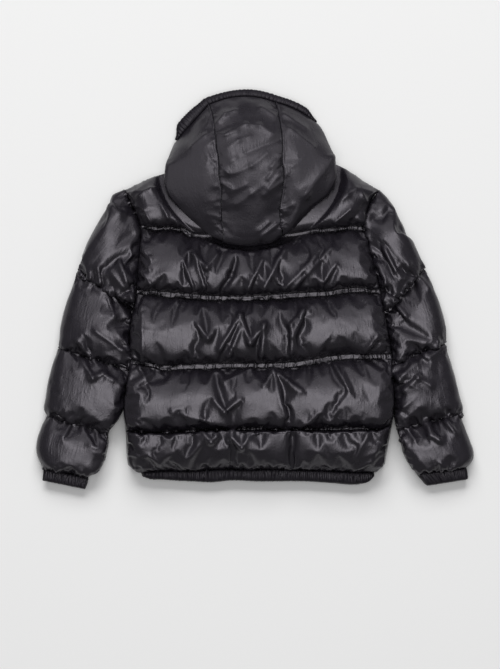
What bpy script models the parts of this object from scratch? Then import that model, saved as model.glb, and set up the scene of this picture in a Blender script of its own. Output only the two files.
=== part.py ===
# Child's hooded puffer jacket, laid flat with its back up.
# The frame: +X to the right of the back, +Y towards the hood, +Z up, underside at z = 0.
# All tables and sizes are in millimetres; MM turns them into metres at the end.
# Every padded piece is a grid of outer points over a plainer grid of inner points.

import math

import bmesh
import bpy
import numpy as np

MM = 0.001

# The middle of the outline in the tables, which becomes the middle of the model
CENTER_X = 0.9
CENTER_Y = -0.2

# Driving sizes
SEAM_GAP = 0.3          # between two sewn pieces
LAYER_GAP = 0.75        # half the space between layers that only lie on each other
SEAM_THICKNESS = 5.0    # padded wall where it is sewn through
BACK_LOFT = 27.0        # padded wall at the middle of a back baffle
FRONT_LOFT = 26.0       # the same under the front, before it flattens on the table
SLEEVE_LOFT = 24.0
EDGE_ROUND = 28.0       # distance over which a side edge rounds up
BAND_CHANNEL = 6.0      # flat strip between the two rows of stitching below a seam
ARMHOLE_GAP = 1.0       # more where the edge curves, because both sides are faceted
SIDE_SHY = 0.65         # each side edge stays this far from the line it shares
INNER_STEP = 2          # the plain inside takes every second point of the outside
SIDE_FULLNESS = 0.15    # share of the padding left at a side edge
ZIP_FULLNESS = 0.4      # and beside the zip

SLEEVE_EDGE_ROUND = 23.0
SLEEVE_FOLD = 11.0      # wall at the outer fold of a sleeve

ZIP_HALF_WIDTH = 9.0
ZIP_THICKNESS = 2.0
CHAIN_HALF_WIDTH = 3.0
CHAIN_THICKNESS = 2.6

CUFF_WAVES = 12         # on each of the two layers of a cuff
CUFF_THICKNESS = 8.0
HEM_BACK_WAVES = 36
HEM_FRONT_WAVES = 17
HEM_THICKNESS = 9.0
HEM_HEIGHT = 19.0
HEM_CORNER_HEIGHT = 8.0
HEM_CORNER_ROUND = 26.0
HEM_SIDE_ROUND = 12.0
HEM_LEFT = -199.0
HEM_RIGHT = 205.0
HEM_FOLD = 8.0
BINDING_WAVES = 46
GATHER_DEPTH = 2.2      # how far a gather stands out of its band
BAND_END = 3.5          # wall at the free edge of a band
CUFF_FOLD = 7.0         # wall at a cuff's outer fold
CUFF_LEVEL = 9.0        # height between a cuff's two layers
CUFF_ROUND = (9.0, 8.0) # how far its outer and its inner edge round up
FLOOR_GAP = 0.3         # lowest that a gathered band hangs

HOOD_LOFT = 16.0
HOOD_WALL = 10.5        # the hood's underlayer, pressed thinner
HOOD_FOLD = 12.0        # wall between the hood's outline and its inner fold
# Distances over which a hood side rounds up: at its lowest point and everywhere else
HOOD_SIDE_ROUND = (14.0, 34.0)
HOOD_SIDE_INNER_ROUND = (3.0, 30.0)
HOOD_SIDE_UNDER_ROUND = (12.0, 16.0)
HOOD_SIDE_HOLLOW_ROUND = 18.0
HOOD_SEAM_ROUND = 26.0  # the same beside a seam between two panels
HOOD_SEAM_FULLNESS = 0.12

# Side edges of the body: armhole down to the underarm, then the side seam
BODY_EDGES = {
    "y":       (168, 145, 125, 100, 75, 50, 20, -5, -25, -50, -85, -118, -150, -190, -215,
                -240, -262, -285, -303, -313),
    "left_x":  (-222, -211, -202, -194, -194, -197, -200, -202, -204, -209, -212, -211, -215,
                -221, -222, -219, -218, -217, -213, -200),
    "right_x": (211, 197, 191, 190, 194, 200, 208, 214, 217, 222, 228, 233, 235, 237, 235,
                231, 227, 223, 218, 206),
}
UNDERARM_Y = -25.0
SLEEVE_FREE_Y = -205.0  # a sleeve lies against the body's side as far down as this
SHOULDER_Y = 168.0

# Quilting seams across the body, top to bottom, with the hem seam last
BODY_SEAMS = {
    "left_y":   (107, -2, -121, -243, -313),
    "middle_y": (97, -13, -128, -240, -308),
    "right_y":  (102, 0, -111, -237, -313),
    "channel":  (True, True, True, False, False),
}

# Upper edge of the back and of the fronts
TOP_EDGE = {
    "x":       (-222, -188, -156, -110, -72, -45, 0, 45, 80, 110, 138, 167, 185, 211),
    "back_y":  (168, 184, 196, 207, 214, 204, 199, 205, 221, 218, 212, 197, 184, 168),
    "front_y": (168, 184, 196, 207, 214, 165, 150, 165, 221, 218, 212, 197, 184, 168),
}

# The part of the back that the hood lies on, an oval with soft edges
HOOD_ZONE = {
    "center": (-8.0, 190.0),
    "half_size": (150.0, 120.0),
    "power": 1.8,
    "edge": (1.04, 1.24),
}
# Height that this part of the back is pressed to
HOOD_SEAT = {
    "y": (230, 205, 190, 166, 141, 70),
    "z": (18.8, 18.8, 23.0, 33.5, 39.8, 39.8),
}

# Height of the surface between the front layer and the back layer
MIDDLE_HEIGHT = {
    "y": (230, 205, 160, 100, -235, -315, -345),
    "z": (12.5, 13, 17, 20.5, 20.5, 10.5, 9.5),
}
SLEEVE_MIDDLE_HEIGHT = {
    "along": (0.0, 0.25, 0.8, 1.0),
    "z": (17.0, 17.0, 13.0, 9.0),
}
SLEEVE_EDGE_FULLNESS = 0.2

# Outline of each sleeve: outer edge from the shoulder, inner edge from the underarm
SLEEVE_OUTER = {
    "y":       (168, 163, 149, 119, 73, 34, 5, -28, -62, -98, -133, -155, -186, -204, -215,
                -235, -260, -274, -288, -306),
    "left_x":  (-222, -236, -246, -263, -287, -300, -311, -323, -331, -335, -346, -352, -357,
                -359, -355, -364, -372, -373, -370, -360),
    "right_x": (211, 226, 236, 250, 275, 290, 303, 316, 324, 326, 337, 343, 350,
                354, 351, 358, 368, 373, 373, 360),
}
SLEEVE_INNER = {
    "y":       (-25, -50, -85, -118, -150, -190, -205, -225, -245, -262, -279, -300, -312, -321),
    "left_x":  (-204, -209, -212, -211, -215, -221, -224, -234, -249, -250, -253, -260, -268, -285),
    "right_x": (217, 222, 228, 233, 235, 238, 238, 239, 244, 249, 254, 264, 274, 287),
}
# Sleeve seams from the armhole to the cuff; the armhole itself follows the body's edge
SLEEVE_SEAMS = {
    "left":  {"outer_y": (168, 34, -100, -215, -306), "inner_y": (-25, -33, -137, -246, -321)},
    "right": {"outer_y": (168, 36, -90, -213, -304), "inner_y": (-25, -38, -128, -240, -314)},
}
# Free edge of each cuff, at its outer fold and at its inner edge
CUFF_ENDS = {
    "left":  ((-362, -329), (-291, -342)),
    "right": ((364, -326), (293, -334)),
}

# Stations along the hood, from its lowest fold up to the face opening
HOOD_STATIONS = {
    "left_x":   (-54.5, -55, -57, -58, -57, -61, -62, -66, -68, -70, -74, -78),
    "left_y":   (95, 106, 121, 141, 166, 190, 215, 240, 262, 282, 300, 313),
    "middle_y": (88, 100, 117, 139, 165, 191, 217, 243, 267, 290, 310, 328),
    "right_x":  (46.5, 46, 43.5, 44.5, 48, 50, 47, 48, 46.5, 43, 40, 36),
    "right_y":  (103, 112, 125, 143, 167, 191, 216, 240, 263, 285, 303, 317),
    "under_z":  (0, 0, 0, 0, 0, 0, 20.5, 1.8, 1.8, 1.8, 1.8, 1.8),
    "fold_z":   (52.3, 52.3, 52.3, 52.3, 50, 45, 40, 33, 26, 20, 14, 9.5),
}
HOOD_FOLD_LINE = {
    "x": (-54.5, -31, 2, 30, 46.5),
    "y": (79, 73, 73, 78, 88),
}
# Outline and hidden edge of each hood side, a row for each station
HOOD_SIDES = {
    "left": {
        "fold":  ((-54.5, 79), (-78, 92), (-106, 115), (-129, 138), (-147, 160), (-153, 183),
                  (-152, 206), (-150, 216), (-147, 224), (-144, 232), (-141, 240), (-138, 248)),
        "via":   ((-54.5, 87), (-66, 99), (-82, 118), (-94, 140), (-102, 163), (-108, 187),
                  (-104, 232), (-82, 252), (-64, 284), (-52, 296), (-38, 304), (-48, 306)),
        "end":   ((-54.5, 95), (-55, 106), (-57, 121), (-58, 141), (-57, 166), (-61, 190),
                  (-79, 219), (-72, 221), (-62, 205), (-43, 175), (-10, 156), (-10, 188)),
    },
    "right": {
        "fold":  ((46.5, 88), (65, 103), (86, 124), (107, 145), (126, 163), (138, 188),
                  (136, 216), (133, 228), (129, 240), (124, 253), (118, 267), (110, 280)),
        "via":   ((46.5, 95), (56, 108), (65, 125), (76, 144), (86, 165), (94, 190),
                  (110, 236), (96, 260), (73, 292), (60, 305), (44, 314), (52, 319)),
        "end":   ((46.5, 103), (46, 112), (43.5, 125), (44.5, 143), (48, 167), (50, 191),
                  (87, 227), (80, 229), (67, 211), (47, 180), (10, 156), (10, 188)),
    },
}
HOOD_TOP = {
    "y": (70, 190, 220, 250, 280, 305, 320, 330),
    "z": (53.8, 53.8, 51, 45, 33, 19, 12, 9),
}
HOOD_FILL = (1.0, 1.0, 1.0, 1.0, 1.0, 1.0, 1.0, 1.0, 1.0, 0.95, 0.8, 0.42)
LAST_BACK_ROW = 5       # the last station whose hidden layer lies on the back panel
SEAT_CLEARANCE = 1.0    # between the back panel and the hood lying on it

BINDING_HALF_WIDTH = 6.3
BINDING_HALF_HEIGHT = 4.2
BINDING_UNDER = 2.2     # half width where it runs under the hood
BINDING_GAP = 0.6
BINDING_SIDES = 6
BINDING_TURNS = ((2.0, 20.0), (6.0, 34.0))  # where it widens again after its left and its right fold

# The zip, under the fronts, with its slider at the top
ZIP_TOP = 187.0
ZIP_END = -326.0
SLIDER_PLACE = 176.0
SLIDER_SIZE = (9.0, 13.0, 2.2)
BRIDGE_SIZE = (2.4, 8.0, 4.2)
BRIDGE_HOLE = (4.8, 2.5)
BRIDGE_SINK = 0.2       # how far the bridge reaches into the slider
HOLE_ROOM = 0.3         # between the slider and the hole for its pull
TAB_WIDTH = 7.0
TAB_LENGTH = 22.0
TAB_THICKNESS = 1.2
TAB_WINDOW = (3.8, 5.4)
SLIDER_TILT = 1.0       # the tapes slope a little under the flat slider

COLORS = {
    "shell":   ((0.012, 0.012, 0.014), 0.32, 0.0),
    "elastic": ((0.010, 0.010, 0.012), 0.45, 0.0),
    "tape":    ((0.011, 0.011, 0.012), 0.8, 0.0),
    "metal":   ((0.05, 0.05, 0.055), 0.35, 1.0),
}


def smooth(table_in, table_out, value):
    """Smooth curve through a short table, read at one value."""
    places = np.asarray(table_in, dtype=float)
    levels = np.asarray(table_out, dtype=float)
    if places[0] > places[-1]:
        places = places[::-1]
        levels = levels[::-1]
    value = min(max(value, places[0]), places[-1])
    slopes = np.gradient(levels, places)
    index = min(max(int(np.searchsorted(places, value)) - 1, 0), len(places) - 2)
    width = places[index + 1] - places[index]
    t = (value - places[index]) / width
    return float(
        levels[index] * (1 + 2 * t) * (1 - t) ** 2
        + levels[index + 1] * t * t * (3 - 2 * t)
        + slopes[index] * width * t * (1 - t) ** 2
        - slopes[index + 1] * width * t * t * (1 - t)
    )


def mix(a, b, t):
    return a + (b - a) * t


def rounded(distance, reach):
    """Quarter circle that rises from 0 at an edge to 1 at its reach."""
    t = min(max(distance / reach, 0.0), 1.0)
    return math.sqrt(1.0 - (1.0 - t) ** 2)


def smoothstep(low, high, value):
    t = min(max((value - low) / (high - low), 0.0), 1.0)
    return t * t * (3 - 2 * t)


def middle_height(y):
    return smooth(MIDDLE_HEIGHT["y"], MIDDLE_HEIGHT["z"], y)


def body_edge(side, y):
    return smooth(BODY_EDGES["y"], BODY_EDGES[side + "_x"], y)


def top_edge(layer, x):
    return smooth(TOP_EDGE["x"], TOP_EDGE[layer + "_y"], x)


def through_three(left, middle, right, t):
    """Parabola through three values at t = 0, 0.5 and 1."""
    return mix(left, right, t) + (middle - (left + right) / 2) * 4 * t * (1 - t)


# ---------------------------------------------------------------- building solids

def make_material(name):
    color, roughness, metallic = COLORS[name]
    material = bpy.data.materials.get(name)
    if material is None:
        material = bpy.data.materials.new(name)
        material.use_nodes = True
        shader = material.node_tree.nodes["Principled BSDF"]
        shader.inputs["Base Color"].default_value = (*color, 1.0)
        shader.inputs["Roughness"].default_value = roughness
        shader.inputs["Metallic"].default_value = metallic
    return material


def model_point(point):
    """A point of the tables, in metres and in the model's frame."""
    return ((point[0] - CENTER_X) * MM, (point[1] - CENTER_Y) * MM, point[2] * MM)


def add_object(name, points, faces, material, pivot=None):
    """Closed object from points of the tables; its origin is at the pivot, if it has one."""
    origin = (0.0, 0.0, 0.0) if pivot is None else model_point(pivot)
    mesh = bpy.data.meshes.new(name)
    mesh.from_pydata([tuple(a - b for a, b in zip(model_point(p), origin)) for p in points], [], faces)
    work = bmesh.new()
    work.from_mesh(mesh)
    bmesh.ops.triangulate(work, faces=work.faces[:])
    bmesh.ops.recalc_face_normals(work, faces=work.faces[:])
    if work.calc_volume(signed=True) < 0:
        bmesh.ops.reverse_faces(work, faces=work.faces[:])
    work.to_mesh(mesh)
    work.free()
    mesh.shade_smooth()
    mesh.set_sharp_from_angle(angle=math.radians(50))
    mesh.materials.append(make_material(material))
    item = bpy.data.objects.new(name, mesh)
    item.location = origin
    bpy.context.collection.objects.link(item)
    return item


def kept(count, step):
    """Every step-th place of a row, and always its last."""
    return sorted(set(range(0, count, step)) | {count - 1})


def border(rows, columns):
    """Places round the border of a grid given by its rows and columns, one way round."""
    loop = [(rows[0], c) for c in columns[:-1]]
    loop += [(r, columns[-1]) for r in rows[:-1]]
    loop += [(rows[-1], c) for c in reversed(columns[1:])]
    loop += [(r, columns[0]) for r in reversed(rows[1:])]
    return loop


def grid_faces(rows, columns, start):
    faces = []
    for r in range(rows - 1):
        for c in range(columns - 1):
            corner = start + r * columns + c
            faces.append((corner, corner + 1, corner + columns + 1, corner + columns))
    return faces


def padded_solid(name, outer, inner, material, step=INNER_STEP):
    """Closed wall between a grid of outer points and a thinned grid of inner points."""
    rows, columns = outer.shape[:2]
    thin_rows = kept(rows, step)
    thin_columns = kept(columns, step)
    thin = inner[np.ix_(thin_rows, thin_columns)]
    points = list(outer.reshape(-1, 3)) + list(thin.reshape(-1, 3))
    start = rows * columns
    faces = grid_faces(rows, columns, 0)
    faces += [tuple(reversed(f)) for f in grid_faces(len(thin_rows), len(thin_columns), start)]
    fine = border(list(range(rows)), list(range(columns)))
    coarse = border(thin_rows, thin_columns)
    for k, place in enumerate(coarse):
        following = coarse[(k + 1) % len(coarse)]
        first = fine.index(place)
        count = (fine.index(following) - first) % len(fine)
        run = [fine[(first + j) % len(fine)] for j in range(count + 1)]
        outside = [r * columns + c for r, c in run]
        near, far = (start + thin_rows.index(r) * len(thin_columns) + thin_columns.index(c)
                     for r, c in (place, following))
        half = (count + 1) // 2
        for j in range(count):
            faces.append((outside[j + 1], outside[j], near if j < half else far))
        faces.append((outside[half], near, far))
    return add_object(name, points, faces, material)


# ---------------------------------------------------------------- body

def baffle_profile(s):
    """Height of a baffle between its two seams, 0 at each seam and 1 in the middle."""
    return math.sqrt(max(0.0, 1.0 - (2.0 * s - 1.0) ** 2))


BAFFLE_STEPS = (0.0, 0.07, 0.22, 0.5, 0.78, 0.93)


def body_rows():
    """Rows of the body as baffle, drop below its upper seam, and share of the way down."""
    rows = []
    drop = 0.0
    for baffle in range(len(BODY_SEAMS["left_y"])):
        drop = 0.0
        if baffle > 0 and BODY_SEAMS["channel"][baffle - 1]:
            rows.append((baffle, 0.0, 0.0))
            drop = BAND_CHANNEL
        rows += [(baffle, drop, share) for share in BAFFLE_STEPS]
    rows.append((len(BODY_SEAMS["left_y"]) - 1, drop, 1.0))
    return rows


def seam_y(index, across):
    return through_three(BODY_SEAMS["left_y"][index], BODY_SEAMS["middle_y"][index],
                         BODY_SEAMS["right_y"][index], across)


def row_ends(row):
    """x of the left and of the right end of a body row."""
    baffle, drop, share = row
    ends = []
    for side in ("left", "right"):
        seams = BODY_SEAMS[side + "_y"]
        upper = SHOULDER_Y if baffle == 0 else seams[baffle - 1]
        ends.append(body_edge(side, mix(upper - drop, seams[baffle], share)))
    return ends


def row_y(row, across, x, layer):
    """y of a body row at a place across it."""
    baffle, drop, share = row
    upper = top_edge(layer, x) if baffle == 0 else seam_y(baffle - 1, across)
    return mix(upper - drop, seam_y(baffle, across), share)


def in_hood_zone(x, y):
    """1 well inside the part of the back that the hood covers, 0 outside it."""
    center_x, center_y = HOOD_ZONE["center"]
    half_x, half_y = HOOD_ZONE["half_size"]
    power = HOOD_ZONE["power"]
    reach = abs((x - center_x) / half_x) ** power + abs((min(y, center_y) - center_y) / half_y) ** power
    return 1.0 - smoothstep(*HOOD_ZONE["edge"], reach)


def hood_seat(y):
    """Height that the covered part of the back is pressed to."""
    return smooth(HOOD_SEAT["y"], HOOD_SEAT["z"], y)


def panel_grids(layer, left_limit, right_limit, columns):
    """Outer and inner points of a body panel between two limits in x (None is its side edge)."""
    rows = body_rows()
    outer = np.zeros((len(rows), len(columns), 3))
    inner = np.zeros_like(outer)
    up = 1.0 if layer == "back" else -1.0
    loft = BACK_LOFT if layer == "back" else FRONT_LOFT
    for r, row in enumerate(rows):
        puff = baffle_profile(row[2])
        left_x, right_x = row_ends(row)
        start = left_x + SIDE_SHY if left_limit is None else left_limit
        stop = right_x - SIDE_SHY if right_limit is None else right_limit
        for c, t in enumerate(columns):
            x = mix(start, stop, t)
            y = row_y(row, (x - left_x) / (right_x - left_x), x, layer)
            from_side = min(x - left_x if left_limit is None else EDGE_ROUND,
                            right_x - x if right_limit is None else EDGE_ROUND)
            from_zip = min(x - start if left_limit is not None else EDGE_ROUND,
                           stop - x if right_limit is not None else EDGE_ROUND)
            fullness = mix(SIDE_FULLNESS, 1.0, rounded(from_side, EDGE_ROUND))
            fullness *= mix(ZIP_FULLNESS, 1.0, rounded(from_zip, EDGE_ROUND))
            thickness = SEAM_THICKNESS * mix(0.8, 1.0, fullness) + (loft - SEAM_THICKNESS) * puff * fullness
            level = middle_height(y)
            gap = SEAM_GAP / 2 if from_side < 1.0 else LAYER_GAP
            inner[r, c] = (x, y, level + up * gap)
            z = level + up * (LAYER_GAP + thickness)
            if layer == "back":
                z = mix(z, min(z, hood_seat(y)), in_hood_zone(x, y))
            outer[r, c] = (x, y, max(z, 0.0))
    return outer, inner


def across_steps(count, edge_left, edge_right):
    """Column places from 0 to 1, closer together at the rounded edges."""
    extra = (0.0, 0.012, 0.035, 0.07)
    steps = list(np.linspace(0.0, 1.0, count + 1))
    if edge_left:
        steps = list(extra) + [t for t in steps if t > 0.09]
    if edge_right:
        steps = [t for t in steps if t < 0.91] + [1.0 - t for t in reversed(extra)]
    if len(steps) % 2 == 0:
        middle = len(steps) // 2
        steps.insert(middle, (steps[middle - 1] + steps[middle]) / 2)
    return steps


def make_body():
    outer, inner = panel_grids("back", None, None, across_steps(16, True, True))
    padded_solid("back_panel", outer, inner, "shell")
    limit = ZIP_HALF_WIDTH + SEAM_GAP
    outer, inner = panel_grids("front", None, -limit, across_steps(7, True, False))
    padded_solid("front_left", outer, inner, "shell")
    outer, inner = panel_grids("front", limit, None, across_steps(7, False, True))
    padded_solid("front_right", outer, inner, "shell")


# ---------------------------------------------------------------- sleeves and cuffs

def sleeve_point(side, edge_name, y):
    table = SLEEVE_OUTER if edge_name == "outer" else SLEEVE_INNER
    x = smooth(table["y"], table[side + "_x"], y)
    if edge_name == "inner" and y > SLEEVE_FREE_Y:
        x = body_edge(side, y)
    return np.array((x, y))


def sleeve_rows(side):
    """Rows of a sleeve: end points of each, puff and how far along the sleeve it is."""
    seams = SLEEVE_SEAMS[side]
    count = len(seams["outer_y"]) - 1
    rows = []
    for baffle in range(count):
        for s in (0.0, 0.08, 0.25, 0.5, 0.75, 0.92):
            rows.append((baffle, s))
    rows.append((count - 1, 1.0))
    result = []
    for baffle, s in rows:
        outer_y = mix(seams["outer_y"][baffle], seams["outer_y"][baffle + 1], s)
        inner_y = mix(seams["inner_y"][baffle], seams["inner_y"][baffle + 1], s)
        result.append({
            "outer": sleeve_point(side, "outer", outer_y),
            "inner": sleeve_point(side, "inner", inner_y),
            "puff": baffle_profile(s),
            "along": (baffle + s) / count,
            "armhole": (1.0 - s) ** 1.5 if baffle == 0 else 0.0,
        })
    return result


SLEEVE_ACROSS = (0.0, 0.015, 0.05, 0.1, 0.16, 0.24, 0.36, 0.52, 0.7, 0.85, 0.94, 0.98, 1.0)


def sleeve_spot(side, rows, row, share):
    """x and y on a sleeve row, from its outer edge at 0 to its inner edge at 1."""
    spot = mix(row["outer"], row["inner"], share)
    if row["armhole"] > 0.0:
        y = mix(SHOULDER_Y, UNDERARM_Y, share)
        straight = mix(rows[0]["outer"], rows[0]["inner"], share)
        spot = spot + (np.array((body_edge(side, y), y)) - straight) * row["armhole"]
    sign = -1.0 if side == "left" else 1.0
    return spot + np.array((sign * (SIDE_SHY + ARMHOLE_GAP * row["armhole"]), 0.0))


def sleeve_level(row, y):
    """Height of the fold of a sleeve: the body's at the armhole, its own further down."""
    own = smooth(SLEEVE_MIDDLE_HEIGHT["along"], SLEEVE_MIDDLE_HEIGHT["z"], row["along"])
    return mix(middle_height(y), own, smoothstep(0.0, 0.25, row["along"]))


def make_sleeve(side):
    """One wall wrapped round: over the back, round the outer fold and back underneath."""
    rows = sleeve_rows(side)
    layers = [(share, 1.0) for share in reversed(SLEEVE_ACROSS)]
    layers += [(share, -1.0) for share in SLEEVE_ACROSS[1:]]
    outer = np.zeros((len(rows), len(layers), 3))
    inner = np.zeros_like(outer)
    for r, row in enumerate(rows):
        length = float(np.linalg.norm(row["inner"] - row["outer"]))
        wall = min(SLEEVE_FOLD, length * 0.12)
        for c, (share, up) in enumerate(layers):
            spot = sleeve_spot(side, rows, row, share)
            fullness = mix(SLEEVE_EDGE_FULLNESS, 1.0, rounded((1.0 - share) * length, SLEEVE_EDGE_ROUND))
            thickness = SEAM_THICKNESS + (SLEEVE_LOFT - SEAM_THICKNESS) * row["puff"] * fullness
            height = (LAYER_GAP + thickness) * rounded(share * length, SLEEVE_EDGE_ROUND)
            outer[r, c] = (*spot, max(sleeve_level(row, spot[1]) + up * height, 0.0))
            spot = sleeve_spot(side, rows, row, (wall + (length - wall) * share) / length)
            gap = LAYER_GAP
            if share in (0.0, 1.0):
                gap = share * SEAM_GAP / 2
            inner[r, c] = (*spot, sleeve_level(row, spot[1]) + up * gap)
    padded_solid("sleeve_" + side, outer, inner, "shell")


def band_wall(name, stations, level_at, thickness):
    """Gathered band: stations run round it, each with its places at the seam and at its end."""
    rows = 5
    outer = np.zeros((rows, len(stations), 3))
    inner = np.zeros_like(outer)
    for r in range(rows):
        down = r / (rows - 1)
        swell = mix(SEAM_THICKNESS, thickness, math.sin(math.pi * down) ** 0.6) if down < 1.0 else BAND_END
        depth = GATHER_DEPTH * (1.0 if 0 < r < rows - 1 else 0.35)
        for c, station in enumerate(stations):
            spot = mix(np.array(station["top"]), np.array(station["end"]), down)
            wave = depth * (0.5 if c % 2 else -0.5)
            height = (LAYER_GAP + swell + wave) * station["round"]
            outer[r, c] = (*spot, max(level_at(spot) + station["up"] * height, FLOOR_GAP))
            spot = mix(np.array(station["top_in"]), np.array(station["end_in"]), down)
            inner[r, c] = (*spot, level_at(spot) + station["up"] * station["gap"])
    padded_solid(name, outer, inner, "elastic")


def make_cuff(side):
    rows = sleeve_rows(side)
    top_outer = sleeve_spot(side, rows, rows[-1], 0.0)
    top_inner = sleeve_spot(side, rows, rows[-1], 1.0)
    end_outer, end_inner = (np.array(end, dtype=float) for end in CUFF_ENDS[side])
    below_seam = np.array((0.0, -SEAM_GAP))
    length = float(np.linalg.norm(top_inner - top_outer))
    count = CUFF_WAVES * 2
    shares = [k / count for k in range(count + 1)]
    layers = [(share, 1.0) for share in reversed(shares)] + [(share, -1.0) for share in shares[1:]]
    stations = []
    for share, up in layers:
        share_in = (CUFF_FOLD + (length - CUFF_FOLD) * share) / length
        gap = LAYER_GAP
        if share in (0.0, 1.0):
            gap = share * SEAM_GAP / 2
        round_up = rounded(share * length, CUFF_ROUND[0])
        stations.append({
            "top": mix(top_outer, top_inner, share) + below_seam,
            "end": mix(end_outer, end_inner, share),
            "top_in": mix(top_outer, top_inner, share_in) + below_seam,
            "end_in": mix(end_outer, end_inner, share_in),
            "round": round_up * mix(0.55, 1.0, rounded((1 - share) * length, CUFF_ROUND[1])),
            "up": up,
            "gap": gap,
        })
    band_wall("cuff_" + side, stations, lambda spot: CUFF_LEVEL, CUFF_THICKNESS)


# ---------------------------------------------------------------- hem band

def hem_top(x):
    left_x = body_edge("left", BODY_SEAMS["left_y"][4])
    right_x = body_edge("right", BODY_SEAMS["right_y"][4])
    return seam_y(4, (x - left_x) / (right_x - left_x)) - SEAM_GAP


def hem_end(x):
    """Lower edge of the hem band, closer to the seam at both corners."""
    rise = 1.0 - rounded(min(x - HEM_LEFT, HEM_RIGHT - x), HEM_CORNER_ROUND)
    return hem_top(x) - mix(HEM_HEIGHT, HEM_CORNER_HEIGHT, rise)


def make_hem_band():
    """One band from the left of the zip, round both sides, to the right of the zip."""
    zip_edge = ZIP_HALF_WIDTH + SEAM_GAP
    runs = ((-zip_edge, HEM_LEFT, -1.0, HEM_FRONT_WAVES * 2),
            (HEM_LEFT, HEM_RIGHT, 1.0, HEM_BACK_WAVES * 2),
            (HEM_RIGHT, zip_edge, -1.0, HEM_FRONT_WAVES * 2))
    stations = []
    for start, stop, up, count in runs:
        for k in range(0 if not stations else 1, count + 1):
            x = mix(start, stop, k / count)
            share = (x - HEM_LEFT) / (HEM_RIGHT - HEM_LEFT)
            x_in = x if abs(x) <= zip_edge else mix(HEM_LEFT + HEM_FOLD, HEM_RIGHT - HEM_FOLD, share)
            stations.append({
                "top": (x, hem_top(x)), "end": (x, hem_end(x)),
                "top_in": (x_in, hem_top(x_in)), "end_in": (x_in, hem_end(x_in)),
                "round": rounded(min(x - HEM_LEFT, HEM_RIGHT - x), HEM_SIDE_ROUND),
                "up": up,
                "gap": 0.0 if x in (HEM_LEFT, HEM_RIGHT) else LAYER_GAP,
            })
    band_wall("hem_band", stations, lambda spot: middle_height(spot[1]), HEM_THICKNESS)


# ---------------------------------------------------------------- hood

def hood_top(y):
    return smooth(HOOD_TOP["y"], HOOD_TOP["z"], y)


def hood_loft(row, from_seam):
    """Padding of the hood's shown layer: thin at its seams and towards the face opening."""
    share = HOOD_FILL[row] * mix(HOOD_SEAM_FULLNESS, 1.0, rounded(from_seam, HOOD_SEAM_ROUND))
    return mix(SEAM_THICKNESS, HOOD_LOFT, share)


def make_hood_side(side):
    table = HOOD_SIDES[side]
    sign = -1.0 if side == "left" else 1.0
    count = len(HOOD_STATIONS["left_y"])
    shares = (1.0, 0.93, 0.83, 0.7, 0.52, 0.34, 0.2, 0.09, 0.0)
    layers = [(p, 1.0) for p in shares] + [(p, -1.0) for p in (0.09, 0.2, 0.34, 0.5, 0.66, 0.82, 0.93, 1.0)]
    outer = np.zeros((count, len(layers), 3))
    inner = np.zeros_like(outer)
    for r in range(count):
        seam = np.array((HOOD_STATIONS[side + "_x"][r] + sign * SEAM_GAP, HOOD_STATIONS[side + "_y"][r]))
        fold = np.array(table["fold"][r], dtype=float)
        if r == 0:
            fold[0] += sign * SEAM_GAP
        via = np.array(table["via"][r], dtype=float)
        end = np.array(table["end"][r], dtype=float)
        if r <= LAST_BACK_ROW:
            end[0] += sign * SEAM_GAP
            via[0] += sign * SEAM_GAP
        fold_z = HOOD_STATIONS["fold_z"][r]
        under = HOOD_STATIONS["under_z"][r]
        length = float(np.linalg.norm(seam - fold))
        inward = (seam - fold) / length
        wall = min(HOOD_FOLD, length * 0.75)
        size = 1 if r else 0    # which of the two roundings holds in this row
        fold_in = fold + inward * wall
        for c, (p, up) in enumerate(layers):
            if up > 0:
                spot = mix(fold, seam, p)
                spot_in = mix(fold_in, seam, p)
                distance = float(np.linalg.norm(spot - fold))
                loft = hood_loft(r, (1.0 - p) * length)
                high = hood_top(seam[1]) + loft
                z = mix(fold_z, high, rounded(distance, HOOD_SIDE_ROUND[size]))
                z_in = mix(fold_z, hood_top(seam[1]), rounded(p * length, HOOD_SIDE_INNER_ROUND[size]))
                z_in = max(z_in, fold_z + (LAYER_GAP if p > 0 else 0.0))
            else:
                spot = (1 - p) ** 2 * fold + 2 * p * (1 - p) * via + p * p * end
                via_in = via + inward * wall / 2
                spot_in = (1 - p) ** 2 * fold_in + 2 * p * (1 - p) * via_in + p * p * end
                distance = float(np.linalg.norm(spot - fold))
                low = hood_seat(spot[1]) + SEAT_CLEARANCE if r <= LAST_BACK_ROW else under
                z = mix(fold_z, low, rounded(distance, HOOD_SIDE_UNDER_ROUND[size]))
                z_in = mix(fold_z - LAYER_GAP, low + HOOD_WALL, rounded(p * length, HOOD_SIDE_HOLLOW_ROUND))
                z_in = min(z_in, fold_z - LAYER_GAP)
            outer[r, c] = (spot[0], spot[1], z)
            inner[r, c] = (spot_in[0], spot_in[1], z_in)
    padded_solid("hood_side_" + side, outer, inner, "shell", step=1)
    return outer[-1], inner[-1]


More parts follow.
